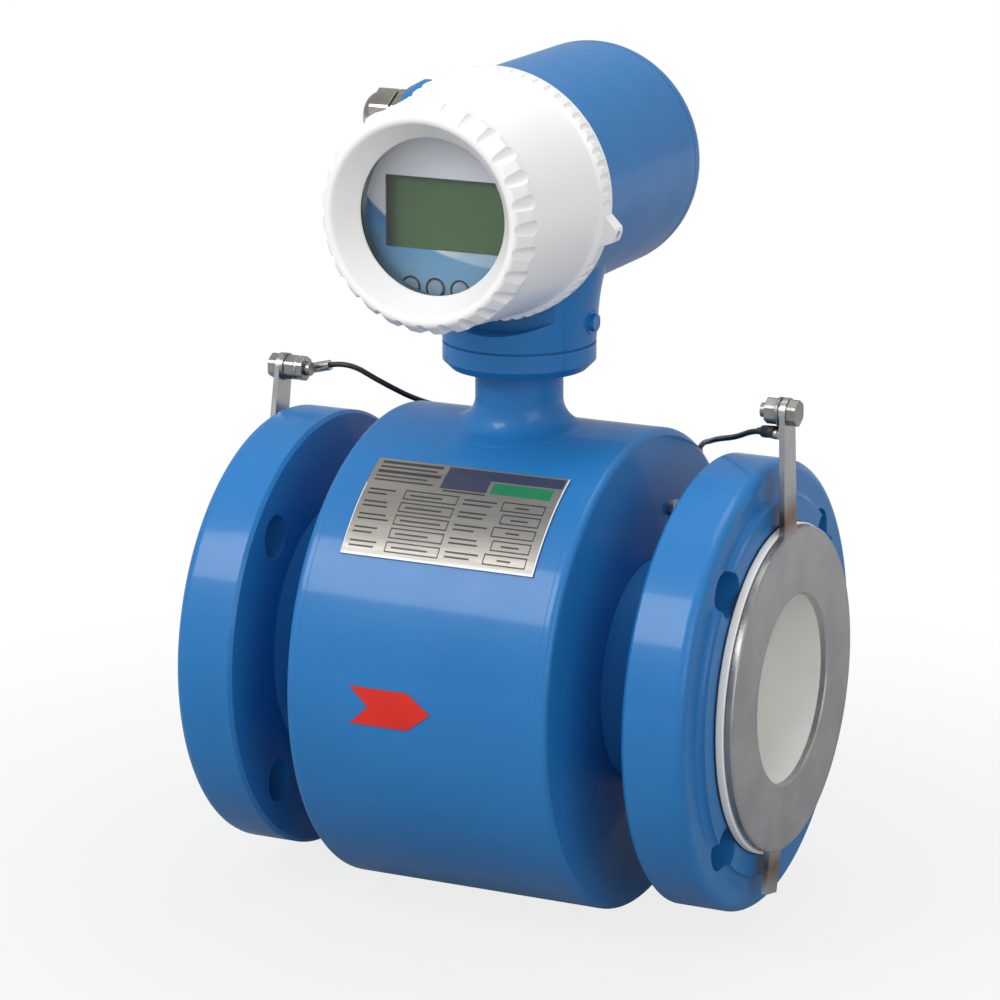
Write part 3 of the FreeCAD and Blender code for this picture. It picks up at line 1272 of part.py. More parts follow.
def build():
    os.makedirs("parts", exist_ok=True)
    export("flow_tube", flow_tube())
    export("liner", liner())
    export("inlet_flange", flange(-1))
    export("outlet_flange", flange(1))
    export("inlet_earthing_ring",
           earthing_ring(-1, INLET_TAB_REACH, INLET_TAB_ANGLE, INLET_LOWER_TAB_ANGLE))
    export("outlet_earthing_ring",
           earthing_ring(1, OUTLET_TAB_REACH, OUTLET_TAB_ANGLE, OUTLET_LOWER_TAB_ANGLE))
    export("tab_bolts", tab_bolts())
    export("tab_nuts", tab_nuts())
    export("tab_washers", tab_washers())
    export("lead_lugs", lead_lugs())
    export("inlet_earth_lead", earth_lead(-1, INLET_LEAD_ROUTE))
    export("outlet_earth_lead", earth_lead(1, OUTLET_LEAD_ROUTE))
    export("housing_shell", housing_shell())
    export("inlet_end_plate", end_plate(-1))
    export("outlet_end_plate", end_plate(1))
    export("vent_screws", vent_screws())
    export("earth_screws", earth_screws())
    export("name_plate", name_plate())
    export("flow_arrow", flow_arrow())
    export("front_electrode", electrode(-1))
    export("back_electrode", electrode(1))
    export("electrode_bushes", electrode_bushes())
    export("electrode_nuts", electrode_nuts())
    export("upper_pole_piece", pole_piece(1))
    export("lower_pole_piece", pole_piece(-1))
    export("upper_coil", coil(1))
    export("lower_coil", coil(-1))
    export("yoke", yoke())
    export("sensor_harness", sensor_harness())
    export("neck", neck())
    export("collar_gasket", collar_gasket())
    export("collar_screws", collar_screws())
    export("transmitter_case", transmitter_case())
    export("case_earth_screw", case_earth_screw())
    export("front_cover", front_cover())
    export("cover_lock_screw", lock_screw())
    export("window_glass", window_glass())
    export("window_gasket", window_gasket())
    export("glass_retainer", glass_retainer())
    export("front_cover_seal", seal_ring(FRONT_SEAL_Y, SPIGOT_RADIUS))
    export("rear_cover", rear_cover())
    export("rear_cover_seal", seal_ring(REAR_SEAL_Y, REAR_THREAD_RADIUS))
    export("face_plate", face_plate())
    export("lcd_module", lcd_module())
    for index in range(KEY_COUNT):
        export("key_%d" % (index + 1), key(index))
    export("standoffs", standoffs())
    export("display_board", display_board())
    export("main_board", main_board())
    export("board_components", board_components())
    export("terminal_block", terminal_block())
    export("terminal_screws", terminal_screws())
    export("gland_body", gland_body())
    export("gland_seal", gland_seal())
    export("gland_slip_ring", slip_ring())
    export("gland_nut", gland_nut())


build()
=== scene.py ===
"""Looks of the electromagnetic flow meter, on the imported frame. Metres, +Z up."""
import math
import bpy
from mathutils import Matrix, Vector


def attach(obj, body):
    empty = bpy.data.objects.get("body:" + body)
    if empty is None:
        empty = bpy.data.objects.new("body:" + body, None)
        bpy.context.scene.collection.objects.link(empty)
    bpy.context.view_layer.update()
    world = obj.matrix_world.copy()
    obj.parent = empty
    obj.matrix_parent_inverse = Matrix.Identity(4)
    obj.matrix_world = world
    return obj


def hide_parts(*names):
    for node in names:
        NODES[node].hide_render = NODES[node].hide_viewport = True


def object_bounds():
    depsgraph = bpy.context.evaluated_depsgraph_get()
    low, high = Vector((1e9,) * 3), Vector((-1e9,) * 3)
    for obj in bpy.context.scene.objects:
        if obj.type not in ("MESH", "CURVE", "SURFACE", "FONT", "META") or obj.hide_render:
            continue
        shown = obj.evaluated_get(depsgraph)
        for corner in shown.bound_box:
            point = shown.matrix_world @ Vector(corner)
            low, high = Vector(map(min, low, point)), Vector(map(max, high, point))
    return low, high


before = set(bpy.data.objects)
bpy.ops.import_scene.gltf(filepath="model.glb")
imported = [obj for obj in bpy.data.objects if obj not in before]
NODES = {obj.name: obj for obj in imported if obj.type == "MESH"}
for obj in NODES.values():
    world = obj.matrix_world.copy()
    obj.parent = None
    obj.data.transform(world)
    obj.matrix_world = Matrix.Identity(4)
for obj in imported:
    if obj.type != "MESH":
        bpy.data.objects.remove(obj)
CAD_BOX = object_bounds()


def mm(x, y, z):
    """A point given in millimetres, as the part's source gives it."""
    return Vector((x / 1000, y / 1000, z / 1000))


# ---- camera -------------------------------------------------------------------------------
CAMERA_AZIMUTH = math.radians(25.13)
CAMERA_ELEVATION = math.radians(14.94)
CAMERA_DISTANCE = 1.7136
CAMERA_LENS = 145.04
CAMERA_SENSOR_WIDTH = 36.0
CAMERA_SEES_TO = 20
CAMERA_TARGET = mm(-9.0, 0.0, 66.2)


def add_camera():
    """The camera, at the object's three-quarter view from the front."""
    back = Vector((math.sin(CAMERA_AZIMUTH) * math.cos(CAMERA_ELEVATION),
                   -math.cos(CAMERA_AZIMUTH) * math.cos(CAMERA_ELEVATION),
                   math.sin(CAMERA_ELEVATION)))
    data = bpy.data.cameras.new("camera")
    data.lens = CAMERA_LENS
    data.sensor_width = CAMERA_SENSOR_WIDTH
    data.clip_end = CAMERA_SEES_TO
    camera = bpy.data.objects.new("camera", data)
    bpy.context.scene.collection.objects.link(camera)
    camera.location = CAMERA_TARGET + back * CAMERA_DISTANCE
    camera.rotation_euler = back.to_track_quat("Z", "Y").to_euler()
    bpy.context.scene.camera = camera


# ---- dimensions shared with the part, in millimetres and degrees --------------------------
HOUSING_RADIUS = 102.5
NAME_PLATE_WIDTH = 87.0
NAME_PLATE_CENTRE_X = 1.2
NAME_PLATE_TOP_ANGLE = 26.8
NAME_PLATE_BOTTOM_ANGLE = 54.2
NAME_PLATE_THICKNESS = 0.6
GLUE_GAP = 0.1
HEAD_AXIS_Z = 203.7
KEY_PITCH = 11.0
KEY_DROP = 32.2
KEY_RADIUS = 3.4
LEAD_DIAMETER = 2.4
INLET_LEAD = [(-105.469, 30.201, 109.339), (-96.7, 30.2, 111.5), (-82.5, 33.4, 103.4),
              (-69.5, 47.0, 92.6), (-57.6, 69.8, 84.4), (-50.92, 75.35, 77.35)]
OUTLET_LEAD = [(113.236, -5.264, 110.386), (106.0, 0.2, 108.8), (94.0, 11.0, 102.2),
               (78.5, 29.0, 95.8), (66.0, 50.0, 88.5), (54.2, 72.3, 81.7),
               (50.92, 75.35, 77.35)]
HOUSING_HALF_LENGTH = 59.0
END_PLATE_THICKNESS = 5.0
NECK_RADIUS = 18.6
NECK_FILLET = 11.0
RAISED_FACE_X = 118.5
LUG_BARREL_RADIUS = 2.3
LUG_BARREL_LENGTH = 9.0


# ---- helpers ------------------------------------------------------------------------------
def srgb(red, green, blue):
    """A colour given as it looks on a screen, 0 to 255, as the linear colour that nodes take."""
    def linear(value):
        v = value / 255
        return v / 12.92 if v <= 0.04045 else ((v + 0.055) / 1.055) ** 2.4
    return (linear(red), linear(green), linear(blue), 1.0)


class Nodes:
    """A material's node tree, with one call for each kind of node that the finishes use."""

    def __init__(self, name):
        self.material = bpy.data.materials.new(name)
        self.material.use_nodes = True
        self.tree = self.material.node_tree
        self.shader = self.tree.nodes["Principled BSDF"]
        self.place = self.add("ShaderNodeTexCoord").outputs["Object"]

    def add(self, kind, **settings):
        node = self.tree.nodes.new(kind)
        for key, value in settings.items():
            setattr(node, key, value)
        return node

    def link(self, output, socket):
        self.tree.links.new(output, socket)

    def fixed(self, **sockets):
        """Uniform numbers and colours, set on the shader itself."""
        for key, value in sockets.items():
            self.shader.inputs[key.replace("_", " ")].default_value = value

    def stretched(self, x, y, z):
        mapping = self.add("ShaderNodeMapping")
        mapping.inputs["Scale"].default_value = (x, y, z)
        self.link(self.place, mapping.inputs["Vector"])
        return mapping.outputs["Vector"]

    def noise(self, scale, detail=2.0, roughness=0.5, place=None):
        node = self.add("ShaderNodeTexNoise")
        node.inputs["Scale"].default_value = scale
        node.inputs["Detail"].default_value = detail
        node.inputs["Roughness"].default_value = roughness
        self.link(place or self.place, node.inputs["Vector"])
        return node.outputs["Fac"]

    def math(self, operation, a, b=None):
        node = self.add("ShaderNodeMath", operation=operation)
        for socket, value in zip(node.inputs, (a, b)):
            if value is None:
                continue
            if isinstance(value, (int, float)):
                socket.default_value = value
            else:
                self.link(value, socket)
        return node.outputs[0]

    def reach(self, a, b):
        """How far a point is from where both a and b are nothing."""
        squares = self.math("ADD", self.math("MULTIPLY", a, a), self.math("MULTIPLY", b, b))
        return self.math("SQRT", squares)

    def fit(self, value, low, high, to_low, to_high, smooth=False):
        """A value from low to high, spread over to_low to to_high."""
        node = self.add("ShaderNodeMapRange")
        if smooth:
            node.interpolation_type = "SMOOTHSTEP"
        self.link(value, node.inputs["Value"])
        node.inputs["From Min"].default_value = low
        node.inputs["From Max"].default_value = high
        node.inputs["To Min"].default_value = to_low
        node.inputs["To Max"].default_value = to_high
        return node.outputs["Result"]

    def mix(self, factor, a, b):
        node = self.add("ShaderNodeMix", data_type="RGBA")
        self.link(factor, node.inputs["Factor"])
        for name, value in (("A", a), ("B", b)):
            socket = [s for s in node.inputs if s.name == name and s.type == "RGBA"][0]
            if isinstance(value, tuple):
                socket.default_value = value
            else:
                self.link(value, socket)
        return [s for s in node.outputs if s.type == "RGBA"][0]

    def mottled(self, pattern, main, second, high=0.65):
        """A colour that wanders between two near ones."""
        return self.mix(self.fit(pattern, 0.35, high, 0, 1), main, second)

    def axes(self):
        node = self.add("ShaderNodeSeparateXYZ")
        self.link(self.place, node.inputs["Vector"])
        return node.outputs["X"], node.outputs["Y"], node.outputs["Z"]

    def colour(self, output):
        self.link(output, self.shader.inputs["Base Color"])

    def rough(self, pattern, low, high):
        """Roughness that wanders from low to high."""
        self.link(self.fit(pattern, 0.3, 0.7, low, high), self.shader.inputs["Roughness"])

    def relief(self, height, distance, edge=0.0):
        """Bump from height, over edges that a small bevel rounds off."""
        bump = self.add("ShaderNodeBump")
        bump.inputs["Strength"].default_value = 1.0
        bump.inputs["Distance"].default_value = distance
        self.link(height, bump.inputs["Height"])
        if edge:
            bevel = self.add("ShaderNodeBevel", samples=4)
            bevel.inputs["Radius"].default_value = edge
            self.link(bevel.outputs["Normal"], bump.inputs["Normal"])
        self.link(bump.outputs["Normal"], self.shader.inputs["Normal"])


# ---- finishes -----------------------------------------------------------------------------
def paint(name, main, deep, gloss, peel=0.00004):
    """Sprayed enamel: nearly even colour, faint orange peel and a hard gloss."""
    n = Nodes(name)
    n.colour(n.mottled(n.noise(14, 3), main, deep))
    n.rough(n.noise(60, 4), gloss, gloss + 0.08)
    n.relief(n.noise(420, 2), peel, edge=0.0006)
    n.fixed(Specular_IOR_Level=0.25, Coat_Weight=0.22, Coat_Roughness=0.1)
    return n.material


def metal(name, colour, dark, low, high, grain=(1, 1, 1), scale=300, bump=0.00002, edge=0.0003):
    """Worked metal: fine directional grain, uneven polish and slightly broken edges."""
    n = Nodes(name)
    spread = n.stretched(*grain)
    fine = n.noise(scale, 4, 0.6, spread)
    n.colour(n.mottled(n.noise(45, 4), colour, dark, high=0.7))
    n.rough(fine, low, high)
    n.relief(fine, bump, edge=edge)
    n.fixed(Metallic=1.0)
    return n.material


def plastic(name, main, second, low, high, scale=700, bump=0.00003):
    """Moulded plastic, rubber or a board: nearly even colour and a fine moulded texture."""
    n = Nodes(name)
    n.colour(n.mottled(n.noise(30, 3), main, second))
    n.rough(n.noise(scale / 4, 3), low, high)
    n.relief(n.noise(scale, 3), bump, edge=0.0002)
    return n.material


BLUE = paint("blue_paint", srgb(36, 117, 182), srgb(32, 112, 177), 0.4)
WHITE = paint("white_paint", srgb(246, 246, 245), srgb(242, 242, 241), 0.34, 0.00003)
STEEL = metal("stainless", srgb(186, 184, 180), srgb(160, 158, 154), 0.22, 0.38)
ZINC = metal("zinc_plate", srgb(176, 176, 174), srgb(136, 136, 132), 0.3, 0.46, scale=160,
             bump=0.00005, edge=0.0005)
NICKEL = metal("nickel_brass", srgb(186, 183, 176), srgb(156, 153, 146), 0.14, 0.28)
TINNED = metal("tinned_copper", srgb(205, 203, 200), srgb(168, 164, 160), 0.2, 0.36, scale=700)
IRON = metal("core_steel", srgb(98, 98, 100), srgb(78, 78, 82), 0.4, 0.6)
COPPER = metal("copper_winding", srgb(176, 104, 58), srgb(150, 82, 44), 0.22, 0.4,
               grain=(0.02, 0.02, 1), scale=2600, bump=0.00012)
PTFE = plastic("ptfe", srgb(247, 247, 243), srgb(242, 242, 238), 0.34, 0.46)
BLACK = plastic("black_plastic", srgb(36, 36, 38), srgb(30, 30, 32), 0.4, 0.55)
LEAD = plastic("lead_insulation", srgb(26, 26, 28), srgb(20, 20, 22), 0.32, 0.45, 1200)
RUBBER = plastic("rubber", srgb(28, 28, 28), srgb(22, 22, 22), 0.6, 0.75)
BOARD = plastic("circuit_board", srgb(30, 88, 52), srgb(24, 76, 44), 0.3, 0.42, 900, 0.00006)
KEY_GREY = plastic("key_grey", srgb(158, 190, 216), srgb(150, 182, 209), 0.4, 0.5)
SCREW_DARK = metal("lock_screw", srgb(96, 78, 66), srgb(70, 58, 50), 0.4, 0.6)


def glass():
    """The window's clear pane."""
    n = Nodes("window_glass")
    n.rough(n.noise(40, 3), 0.0, 0.02)
    n.fixed(Transmission_Weight=1.0, IOR=1.35, Base_Color=(0.97, 0.985, 0.98, 1.0))
    return n.material


def red_film():
    """The arrow's glossy red film."""
    n = Nodes("arrow_red")
    n.colour(n.mottled(n.noise(60, 3), srgb(216, 36, 16), srgb(206, 30, 14)))
    n.rough(n.noise(200, 3), 0.3, 0.4)
    n.relief(n.noise(500, 2), 0.00002, edge=0.0001)
    return n.material


def label_steel():
    """The name plate's brushed metal, with its grain along the pipe."""
    n = Nodes("label_steel")
    grain = n.noise(260, 4, 0.6, n.stretched(0.05, 1, 1))
    n.colour(n.mottled(grain, srgb(154, 151, 144), srgb(137, 135, 129)))
    n.rough(grain, 0.3, 0.42)
    n.relief(grain, 0.00001, edge=0.0002)
    n.fixed(Metallic=0.6)
    return n.material


# each arc's centre across and above the head's axis, its radius and its blur
DEEP_ARC = (24.0, 62.0, 84.0, 0.5)
MIDDLE_ARC = (-30.0, 58.0, 82.0, 3.0)
FADE_BOTTOM = 34.0
FADE_TOP = 4.0
KEY_RING_GAP = 0.9
KEY_RING_BLUR = 0.2


def printed_face():
    """The plate round the display: a pale field over two soft blue fields with curved edges."""
    n = Nodes("plate_print")
    x, _, z = n.axes()

    def outside(across, above, radius, blur):
        dx = n.math("SUBTRACT", x, across / 1000)
        dz = n.math("SUBTRACT", z, (HEAD_AXIS_Z + above) / 1000)
        return n.fit(n.reach(dx, dz), (radius - blur) / 1000, (radius + blur) / 1000, 0, 1)

    pale = n.mix(n.noise(40, 2), srgb(238, 240, 249), srgb(230, 233, 244))
    fade = n.fit(z, (HEAD_AXIS_Z - FADE_BOTTOM) / 1000, (HEAD_AXIS_Z - FADE_TOP) / 1000, 0, 1)
    blue = n.mix(fade, srgb(140, 188, 220), srgb(58, 138, 204))
    across = n.math("PINGPONG", n.math("ADD", x, KEY_PITCH / 2000), KEY_PITCH / 2000)
    down = n.math("SUBTRACT", z, (HEAD_AXIS_Z - KEY_DROP) / 1000)
    inner = KEY_RADIUS + KEY_RING_GAP
    ring = n.fit(n.reach(across, down), inner / 1000, (inner + KEY_RING_BLUR) / 1000, 1, 0)
    light = n.mix(outside(*MIDDLE_ARC), pale, srgb(176, 206, 232))
    n.colour(n.mix(ring, n.mix(outside(*DEEP_ARC), light, blue), srgb(40, 44, 52)))
    n.rough(n.noise(220, 3), 0.28, 0.36)
    n.relief(n.noise(600, 2), 0.00001, edge=0.0002)
    n.fixed(Specular_IOR_Level=0.2)
    return n.material


DISPLAY_LEFT = -27.5
DISPLAY_TOP = 13.8
# how far the painted shade of the recess walls reaches onto the display, in millimetres
SIDE_SHADE = 7.0
TOP_SHADE = 4.3


def display():
    """A blank reflective display: olive green, with painted shade of its recess walls darkening
    it towards its left and upper edges.
    """
    n = Nodes("lcd_green")
    x, _, z = n.axes()
    top_z = HEAD_AXIS_Z + DISPLAY_TOP
    # painted shade: the recess walls' shadow, drawn as a darker colour towards the display's
    # left and upper edges
    side = n.fit(x, DISPLAY_LEFT / 1000, (DISPLAY_LEFT + SIDE_SHADE) / 1000, 0, 1, smooth=True)
    top = n.fit(z, (top_z - TOP_SHADE) / 1000, top_z / 1000, 1, 0, smooth=True)
    lit = n.math("MULTIPLY", side, top)
    n.colour(n.mix(lit, srgb(34, 48, 40), srgb(72, 108, 66)))
    n.rough(n.noise(90, 3), 0.16, 0.22)
    n.relief(n.noise(900, 2), 0.000001)
    n.fixed(Specular_IOR_Level=0.12)
    return n.material


TAB_WELD_RADIUS = 74.5
TINT_INNER_RADIUS = 65.5
TINT_OUTER_RADIUS = 88.0


def ring_steel():
    """Turned stainless ring with the straw and brown tint of the weld that holds each tab."""
    n = Nodes("ring_steel")
    _, y, z = n.axes()
    fine = n.noise(500, 3, 0.6, n.stretched(1, 0.25, 0.25))
    reach = n.reach(y, z)
    weld = TAB_WELD_RADIUS / 1000
    near = n.fit(reach, TINT_INNER_RADIUS / 1000, weld, 0, 1, smooth=True)
    away = n.fit(reach, weld, TINT_OUTER_RADIUS / 1000, 1, 0, smooth=True)
    patchy = n.fit(n.noise(120, 3), 0.3, 0.7, 0.7, 1)
    tint = n.math("MULTIPLY", n.math("MULTIPLY", near, away), patchy)
    base = n.mottled(n.noise(45, 4), srgb(188, 188, 187), srgb(170, 171, 173), high=0.7)
    n.colour(n.mix(tint, base, srgb(120, 80, 44)))
    n.rough(fine, 0.24, 0.4)
    n.relief(fine, 0.00002, edge=0.0003)
    n.fixed(Metallic=1.0)
    return n.material


FINISHES = [
    (BLUE, ["housing_shell", "inlet_end_plate", "outlet_end_plate", "inlet_flange",
            "outlet_flange", "neck", "transmitter_case", "rear_cover", "flow_tube",
            "collar_gasket", "case_earth_screw"]),
    (WHITE, ["front_cover"]),
    (ring_steel(), ["inlet_earthing_ring", "outlet_earthing_ring"]),
    (STEEL, ["vent_screws", "earth_screws", "collar_screws", "front_electrode",
             "back_electrode", "electrode_nuts"]),
    (ZINC, ["tab_bolts", "tab_nuts", "tab_washers", "standoffs", "terminal_screws",
            "glass_retainer"]),
    (NICKEL, ["gland_body", "gland_nut", "gland_slip_ring"]),
    (TINNED, ["lead_lugs"]),
    (IRON, ["upper_pole_piece", "lower_pole_piece", "yoke"]),
    (COPPER, ["upper_coil", "lower_coil"]),
    (PTFE, ["liner", "electrode_bushes"]),
    (BLACK, ["terminal_block", "board_components", "sensor_harness"]),
    (RUBBER, ["front_cover_seal", "rear_cover_seal", "window_gasket", "gland_seal"]),
    (BOARD, ["display_board", "main_board"]),
    (KEY_GREY, ["key_1", "key_2", "key_3", "key_4"]),
    (SCREW_DARK, ["cover_lock_screw"]),
    (glass(), ["window_glass"]),
    (red_film(), ["flow_arrow"]),
    (label_steel(), ["name_plate"]),
    (printed_face(), ["face_plate"]),
    (display(), ["lcd_module"]),
]


def dress_nodes():
    """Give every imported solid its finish."""
    for material, names in FINISHES:
        for name in names:
            piece = NODES[name]
            piece.data.materials.clear()
            piece.data.materials.append(material)


# ---- earth leads --------------------------------------------------------------------------
def add_lead(name, points, node):
    """An earth lead, as one smooth spline along its route."""
    data = bpy.data.curves.new(name, "CURVE")
    data.dimensions = "3D"
    data.bevel_depth = LEAD_DIAMETER / 2000
    data.bevel_resolution = 6
    data.resolution_u = 24
    data.use_fill_caps = True
    spline = data.splines.new("NURBS")
    spline.points.add(len(points) - 1)
    for point, place in zip(spline.points, points):
        point.co = (*mm(*place), 1)
    spline.order_u = 3
    spline.use_endpoint_u = True
    data.materials.append(LEAD)
    lead = bpy.data.objects.new(name, data)
    bpy.context.scene.collection.objects.link(lead)
    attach(lead, "base")
    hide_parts(node)


# ---- new pieces of mesh -------------------------------------------------------------------
RING_STEPS = 120


def add_mesh(name, verts, faces, material, smooth=True):
    """A new piece on the base."""
    mesh = bpy.data.meshes.new(name)
    mesh.from_pydata(verts, [], faces)
    for face in mesh.polygons:
        face.use_smooth = smooth
    mesh.materials.append(material)
    piece = bpy.data.objects.new(name, mesh)
    bpy.context.scene.collection.objects.link(piece)
    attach(piece, "base")


def wrapped_faces(rows, steps, flip=False):
    """Faces over rows of points, where the last row and each row's last point meet the first."""
    faces = []
    for row in range(rows):
        here = row * steps
        there = (row + 1) % rows * steps
        for step in range(steps):
            other = (step + 1) % steps
            corners = (here + step, there + step, there + other, here + other)
            faces.append(corners[::-1] if flip else corners)
    return faces


def turns(steps):
    """Angles once round, in radians."""
    return [2 * math.pi * step / steps for step in range(steps)]


# ---- printing on the name plate -----------------------------------------------------------
PRINT_LIFT = 0.06
PRINT_DEPTH = 0.1
PRINT_STEPS = 12             # in a field as tall as the plate, so that it follows the curve
PLATE_ROWS = 5
FIRST_ROW = 0.335
ROW_PITCH = 0.128
BOX_HEIGHT = 0.1


def print_field(left, right, top, bottom):
    """A thin raised field on the plate: left to right and top to bottom are shares of it."""
    x0 = NAME_PLATE_CENTRE_X - NAME_PLATE_WIDTH / 2
    turn = NAME_PLATE_BOTTOM_ANGLE - NAME_PLATE_TOP_ANGLE
    outer = HOUSING_RADIUS + GLUE_GAP + NAME_PLATE_THICKNESS + PRINT_LIFT
    steps = max(1, round((bottom - top) * PRINT_STEPS))
    verts = []
    for index in range(steps + 1):
        share = top + (bottom - top) * index / steps
        angle = math.radians(NAME_PLATE_TOP_ANGLE + turn * share)
        for radius in (outer, outer - PRINT_DEPTH):
            for x in (left, right):
                verts.append(mm(x0 + NAME_PLATE_WIDTH * x, -radius * math.sin(angle),
                                radius * math.cos(angle)))
    faces = [(0, 2, 3, 1), (4 * steps, 4 * steps + 1, 4 * steps + 3, 4 * steps + 2)]
    for index in range(steps):
        a = 4 * index
        b = a + 4
        faces += [(a, a + 1, b + 1, b), (a + 2, b + 2, b + 3, a + 3),
                  (a, b, b + 2, a + 2), (a + 1, a + 3, b + 3, b + 1)]
    return verts, faces


def join_fields(name, fields, material):
    """One piece of several fields."""
    verts = []
    faces = []
    for field in fields:
        more, sides = print_field(*field)
        faces += [tuple(i + len(verts) for i in side) for side in sides]
        verts += more
    add_mesh(name, verts, faces, material, smooth=False)


def box_lines(left, right, top, bottom, line_x=0.005, line_y=0.012):
    """The four lines of an empty box."""
    return [(left, right, top, top + line_y), (left, right, bottom - line_y, bottom),
            (left, left + line_x, top + line_y, bottom - line_y),
            (right - line_x, right, top + line_y, bottom - line_y)]


def print_name_plate():
    """Generic fields only: a dark heading, a green strip, and five rows of bars and boxes; then
    a painted highlight, pale lines where the plate's lower, right and lower left edges catch the
    light.
    """
    ink = plastic("print_ink", srgb(56, 52, 52), srgb(46, 43, 44), 0.35, 0.45)
    heading = plastic("print_heading", srgb(52, 60, 84), srgb(46, 54, 78), 0.35, 0.45)
    green = plastic("print_green", srgb(24, 122, 78), srgb(20, 114, 72), 0.35, 0.45)
    # painted highlight: the pale colour of the lines along the plate's lit edges
    rim = plastic("painted_edge_highlight", srgb(228, 230, 236), srgb(220, 222, 230), 0.3, 0.4)
    bars = [(0.03, 0.35, 0.03, 0.06), (0.03, 0.33, 0.09, 0.11), (0.03, 0.36, 0.14, 0.17),
            (0.03, 0.3, 0.2, 0.215), (0.03, 0.34, 0.245, 0.26), (0.4, 0.62, 0.285, 0.3)]
    for row in range(PLATE_ROWS):
        top = FIRST_ROW + row * ROW_PITCH
        bars.append((0.03, 0.17 - 0.02 * (row % 2), top + 0.018, top + 0.034))
        bars.append((0.03, 0.13 + 0.03 * (row % 3), top + 0.062, top + 0.078))
        bars += box_lines(0.22, 0.5, top, top + BOX_HEIGHT)
        bars.append((0.25, 0.42 + 0.02 * (row % 3), top + 0.044, top + 0.06))
        bars.append((0.53, 0.7 - 0.03 * (row % 2), top + 0.02, top + 0.036))
        bars.append((0.53, 0.68 - 0.02 * (row % 3), top + 0.064, top + 0.08))
        bars += box_lines(0.73 + 0.02 * (row % 2), 0.95, top, top + BOX_HEIGHT)
        bars.append((0.8, 0.87 + 0.02 * (row % 2), top + 0.044, top + 0.06))
    join_fields("plate_bars", bars, ink)
    join_fields("plate_heading", [(0.38, 0.985, 0.02, 0.13), (0.38, 0.62, 0.13, 0.27)], heading)
    join_fields("plate_green", [(0.64, 0.95, 0.15, 0.27)], green)
    # painted highlight: pale lines along the bottom, the right edge and the lower part of the
    # left edge, where the plate's edge catches the light; the top has none
    edges = [(0.0, 1.0, 0.978, 1.0), (0.993, 1.0, 0.0, 0.978), (0.0, 0.005, 0.3, 0.978)]
    join_fields("plate_painted_highlight", edges, rim)


# ---- weld beads, the neck's foot, liner lips and the lead's sleeve --------------------------
SEAM_BEAD_RADIUS = 0.5
SEAM_BEAD_PROUD = 0.06
EDGE_LINE_RADIUS = 0.3
BEAD_SIDES = 10
NECK_FOOT_DEPTH = 0.4
# the skin's outer face, as the along and lift that neck_foot_point takes
NECK_FOOT_EDGES = [(18, -0.06), (13, 0.03), (8, 0.08), (3, 0.1), (0, 0.1), (-1, 0.1),
                   (-2.5, 0.08), (-4, 0.03), (-5.5, -0.06)]
LINER_LIP_RADIUS = 69.6
LINER_LIP_INNER_RADIUS = 60.0
LINER_LIP_BACK_X = 118.9
LINER_LIP_FRONT_X = 122.4
LINER_LIP_EDGE = 0.6
LINER_LIP_EDGE_STEPS = 4
SLEEVE_WALL = 0.3
SLEEVE_TAPER_START = 0.6
SLEEVE_TAPER_END = 2.4
SLEEVE_END = 5.0
SLEEVE_TUCK = 0.2
SLEEVE_SIDES = 24


def round_bead(name, x, path_radius, radius, material):
    """A thin ring about the pipe's axis."""
    verts = []
    for turn in turns(RING_STEPS):
        outward = Vector((0, math.cos(turn), math.sin(turn)))
        for bend in turns(BEAD_SIDES):
            reach = path_radius + radius * math.cos(bend)
            verts.append(mm(x + radius * math.sin(bend), 0, 0) + outward * reach / 1000)
    add_mesh(name, verts, wrapped_faces(RING_STEPS, BEAD_SIDES), material)


def neck_foot_point(turn, along, lift):
    """A point on the neck's fillet, along degrees up it, or along mm out on the housing where
    along is negative. Lift raises it from the metal."""
    circle = NECK_RADIUS + NECK_FILLET
    reach = HOUSING_RADIUS + NECK_FILLET
    across = circle * math.sin(turn)
    centre = Vector((circle * math.cos(turn), across, math.sqrt(reach ** 2 - across ** 2)))
    down = Vector((0, -centre.y, -centre.z)) / reach
    inward = Vector((-math.cos(turn), -math.sin(turn), 0))
    rise = (inward - down * inward.dot(down)).normalized()
    if along >= 0:
        angle = math.radians(along)
        ray = down * math.cos(angle) + rise * math.sin(angle)
        return (centre + ray * (NECK_FILLET - lift)) / 1000
    foot = centre + down * NECK_FILLET + rise * along
    scale = (HOUSING_RADIUS + lift) / math.hypot(foot.y, foot.z)
    return Vector((foot.x, foot.y * scale, foot.z * scale)) / 1000


def add_neck_foot():
    """Filler and paint that feather the neck's fillet into the housing, so no seam shows."""
    profile = NECK_FOOT_EDGES + [(along, -NECK_FOOT_DEPTH)
                                 for along, _ in reversed(NECK_FOOT_EDGES)]
    verts = [neck_foot_point(turn, along, lift)
             for along, lift in profile for turn in turns(RING_STEPS)]
    add_mesh("neck_foot", verts, wrapped_faces(len(profile), RING_STEPS), BLUE)


def add_beads():
    """Painted beads where the end plates meet the shell, and a painted shadow behind each lip: a
    thin black ring in the rubber finish, not a part.
    """
    seam = HOUSING_HALF_LENGTH - END_PLATE_THICKNESS
    seam_radius = HOUSING_RADIUS - SEAM_BEAD_RADIUS + SEAM_BEAD_PROUD
    shadow = RAISED_FACE_X + EDGE_LINE_RADIUS
    for side, end in ((-1, "inlet"), (1, "outlet")):
        round_bead(end + "_plate_weld", side * seam, seam_radius, SEAM_BEAD_RADIUS,
                   BLUE)
        # painted shadow: a black ring laid in the gap behind the liner's lip, where only shade
        # falls
        round_bead(end + "_painted_lip_shadow", side * shadow, LINER_LIP_RADIUS, EDGE_LINE_RADIUS,
                   RUBBER)


